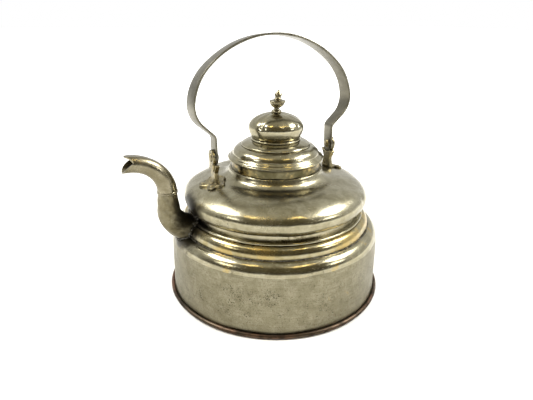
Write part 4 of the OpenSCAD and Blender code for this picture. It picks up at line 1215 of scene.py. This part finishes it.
# %% [markdown]
# ## Floor, lamps and room
#
# The floor is plain and pale. Seen by the camera or in the metal it gets white with the
# distance from the kettle, so that it runs into the background without an edge. Its
# glow doesn't light the kettle's dull places, since no other ray sees it.

# %% Floor
FLOOR_HALF, FLOOR_Z = 9000, -0.05
corners = [[-1, -1], [1, -1], [1, 1], [-1, 1]]
floor_points = [[x * FLOOR_HALF, y * FLOOR_HALF, FLOOR_Z] for x, y in corners]
floor = fill_mesh("floor", floor_points, [[0, 1, 2, 3]])
floor_paint, nodes, shader = new_finish("floor_paint")
where = put(nodes, "TexCoord").outputs["Object"]
boards = grain(nodes, where, 1.5, 3, 0.5)
tone = tint(nodes, boards, (0.90, 0.895, 0.875), (0.93, 0.93, 0.92))
nodes.id_data.links.new(tone, shader.inputs["Base Color"])
shader.inputs["Roughness"].default_value = 0.6
away = put(nodes, "VectorMath", {0: where}, operation="LENGTH").outputs["Value"]
rays = put(nodes, "LightPath").outputs
seen = calc(nodes, "ADD", rays["Is Camera Ray"], rays["Is Glossy Ray"])
shader.inputs["Emission Color"].default_value = (1, 1, 1, 1)
white = calc(nodes, "MULTIPLY", seen, span(nodes, away, 0.22, 0.75))
nodes.id_data.links.new(white, shader.inputs["Emission Strength"])
floor.data.materials.append(floor_paint)
print("floor", 2 * FLOOR_HALF * MM, "m wide")

# %% [markdown]
# The kettle is a curved mirror, so most of its look comes from what stands round it. Two
# large softboxes hang high at the sides, each with a low small one near it, and two
# small warm lamps above the front make the yellow pairs of reflections.

# %% Lamps
AIM = (0, 0, 0.1)


def around_kettle(azimuth, elevation, distance):
    """A place at that distance; azimuth 0 is towards the camera and grows to its right."""
    a, e = np.radians(azimuth) - KETTLE_TURN, np.radians(elevation)
    level = distance * np.cos(e)
    return [level * np.sin(a), -level * np.cos(a), distance * np.sin(e)]


def soft_box(name, place, size, watts, color):
    """A rectangular lamp at a place in metres that faces the kettle's middle."""
    lamp = bpy.data.lights.new(name, "AREA")
    lamp.shape, lamp.size, lamp.size_y = "RECTANGLE", *size
    lamp.energy, lamp.color = watts, color
    back = np.array(place, float) - np.array(AIM, float)
    back /= np.linalg.norm(back)
    side = np.cross([0, 0, 1], back)
    side /= np.linalg.norm(side)
    matrix = np.eye(4)
    matrix[:3] = np.column_stack([side, np.cross(back, side), back, place])
    in_scene(name, lamp).matrix_world = Matrix(matrix.tolist())
    print(name, watts, "W at", np.round(place, 2))


for name, place, size, watts, color in (
        ("left_box", (-88, 54, 1.5), (0.56, 0.40), 20, (1, 1, 1)),
        ("right_box", (96, 48, 1.5), (0.60, 0.40), 21, (1, 1, 1)),
        ("low_left", (-54, 33, 1.7), (0.30, 0.20), 3.2, (1, 1, 1)),
        ("low_right", (70, 27, 1.7), (0.34, 0.20), 3.4, (1, 1, 1)),
        ("warm_left", (-38, 64, 1.6), (0.22, 0.11), 1.2, (1.0, 0.76, 0.32)),
        ("warm_right", (48, 62, 1.6), (0.26, 0.10), 1.3, (1.0, 0.78, 0.36))):
    soft_box(name, around_kettle(*place), size, watts, color)

# %% [markdown]
# The camera sees a white room, and so do the metals behind and beside them. In front,
# behind the camera, the room is dim and warm, which gives the bellies their dark olive,
# and overhead hangs a greyer ceiling.

# %% Room
world = bpy.data.worlds.new("room")
world.use_nodes = True
bpy.context.scene.world = world
nodes = world.node_tree.nodes
way = put(nodes, "TexCoord").outputs["Generated"]
height = put(nodes, "SeparateXYZ", {0: way}).outputs["Z"]
to_camera = tuple(around_kettle(0, 0, 1))
front = put(nodes, "VectorMath", {0: way, 1: to_camera}, operation="DOT_PRODUCT").outputs["Value"]
dim = tint(nodes, span(nodes, height, 0.05, 0.5), (0.085, 0.08, 0.062), (0.20, 0.17, 0.095))
bright = tint(nodes, span(nodes, height, 0.1, 0.9), (1.0, 1.0, 0.98), (0.85, 0.84, 0.78))
room = tint(nodes, span(nodes, front, -0.12, 0.38), bright, dim)
room = tint(nodes, span(nodes, height, 0.82, 0.98), room, (0.70, 0.67, 0.56))
lens = put(nodes, "LightPath").outputs["Is Camera Ray"]
seen = tint(nodes, lens, room, (1.0, 1.0, 1.0))
world.node_tree.links.new(seen, nodes["Background"].inputs["Color"])
nodes["Background"].inputs["Strength"].default_value = 1.0
bpy.context.scene.view_settings.view_transform = "Standard"
print("room with", len(bpy.data.lights), "lamps")
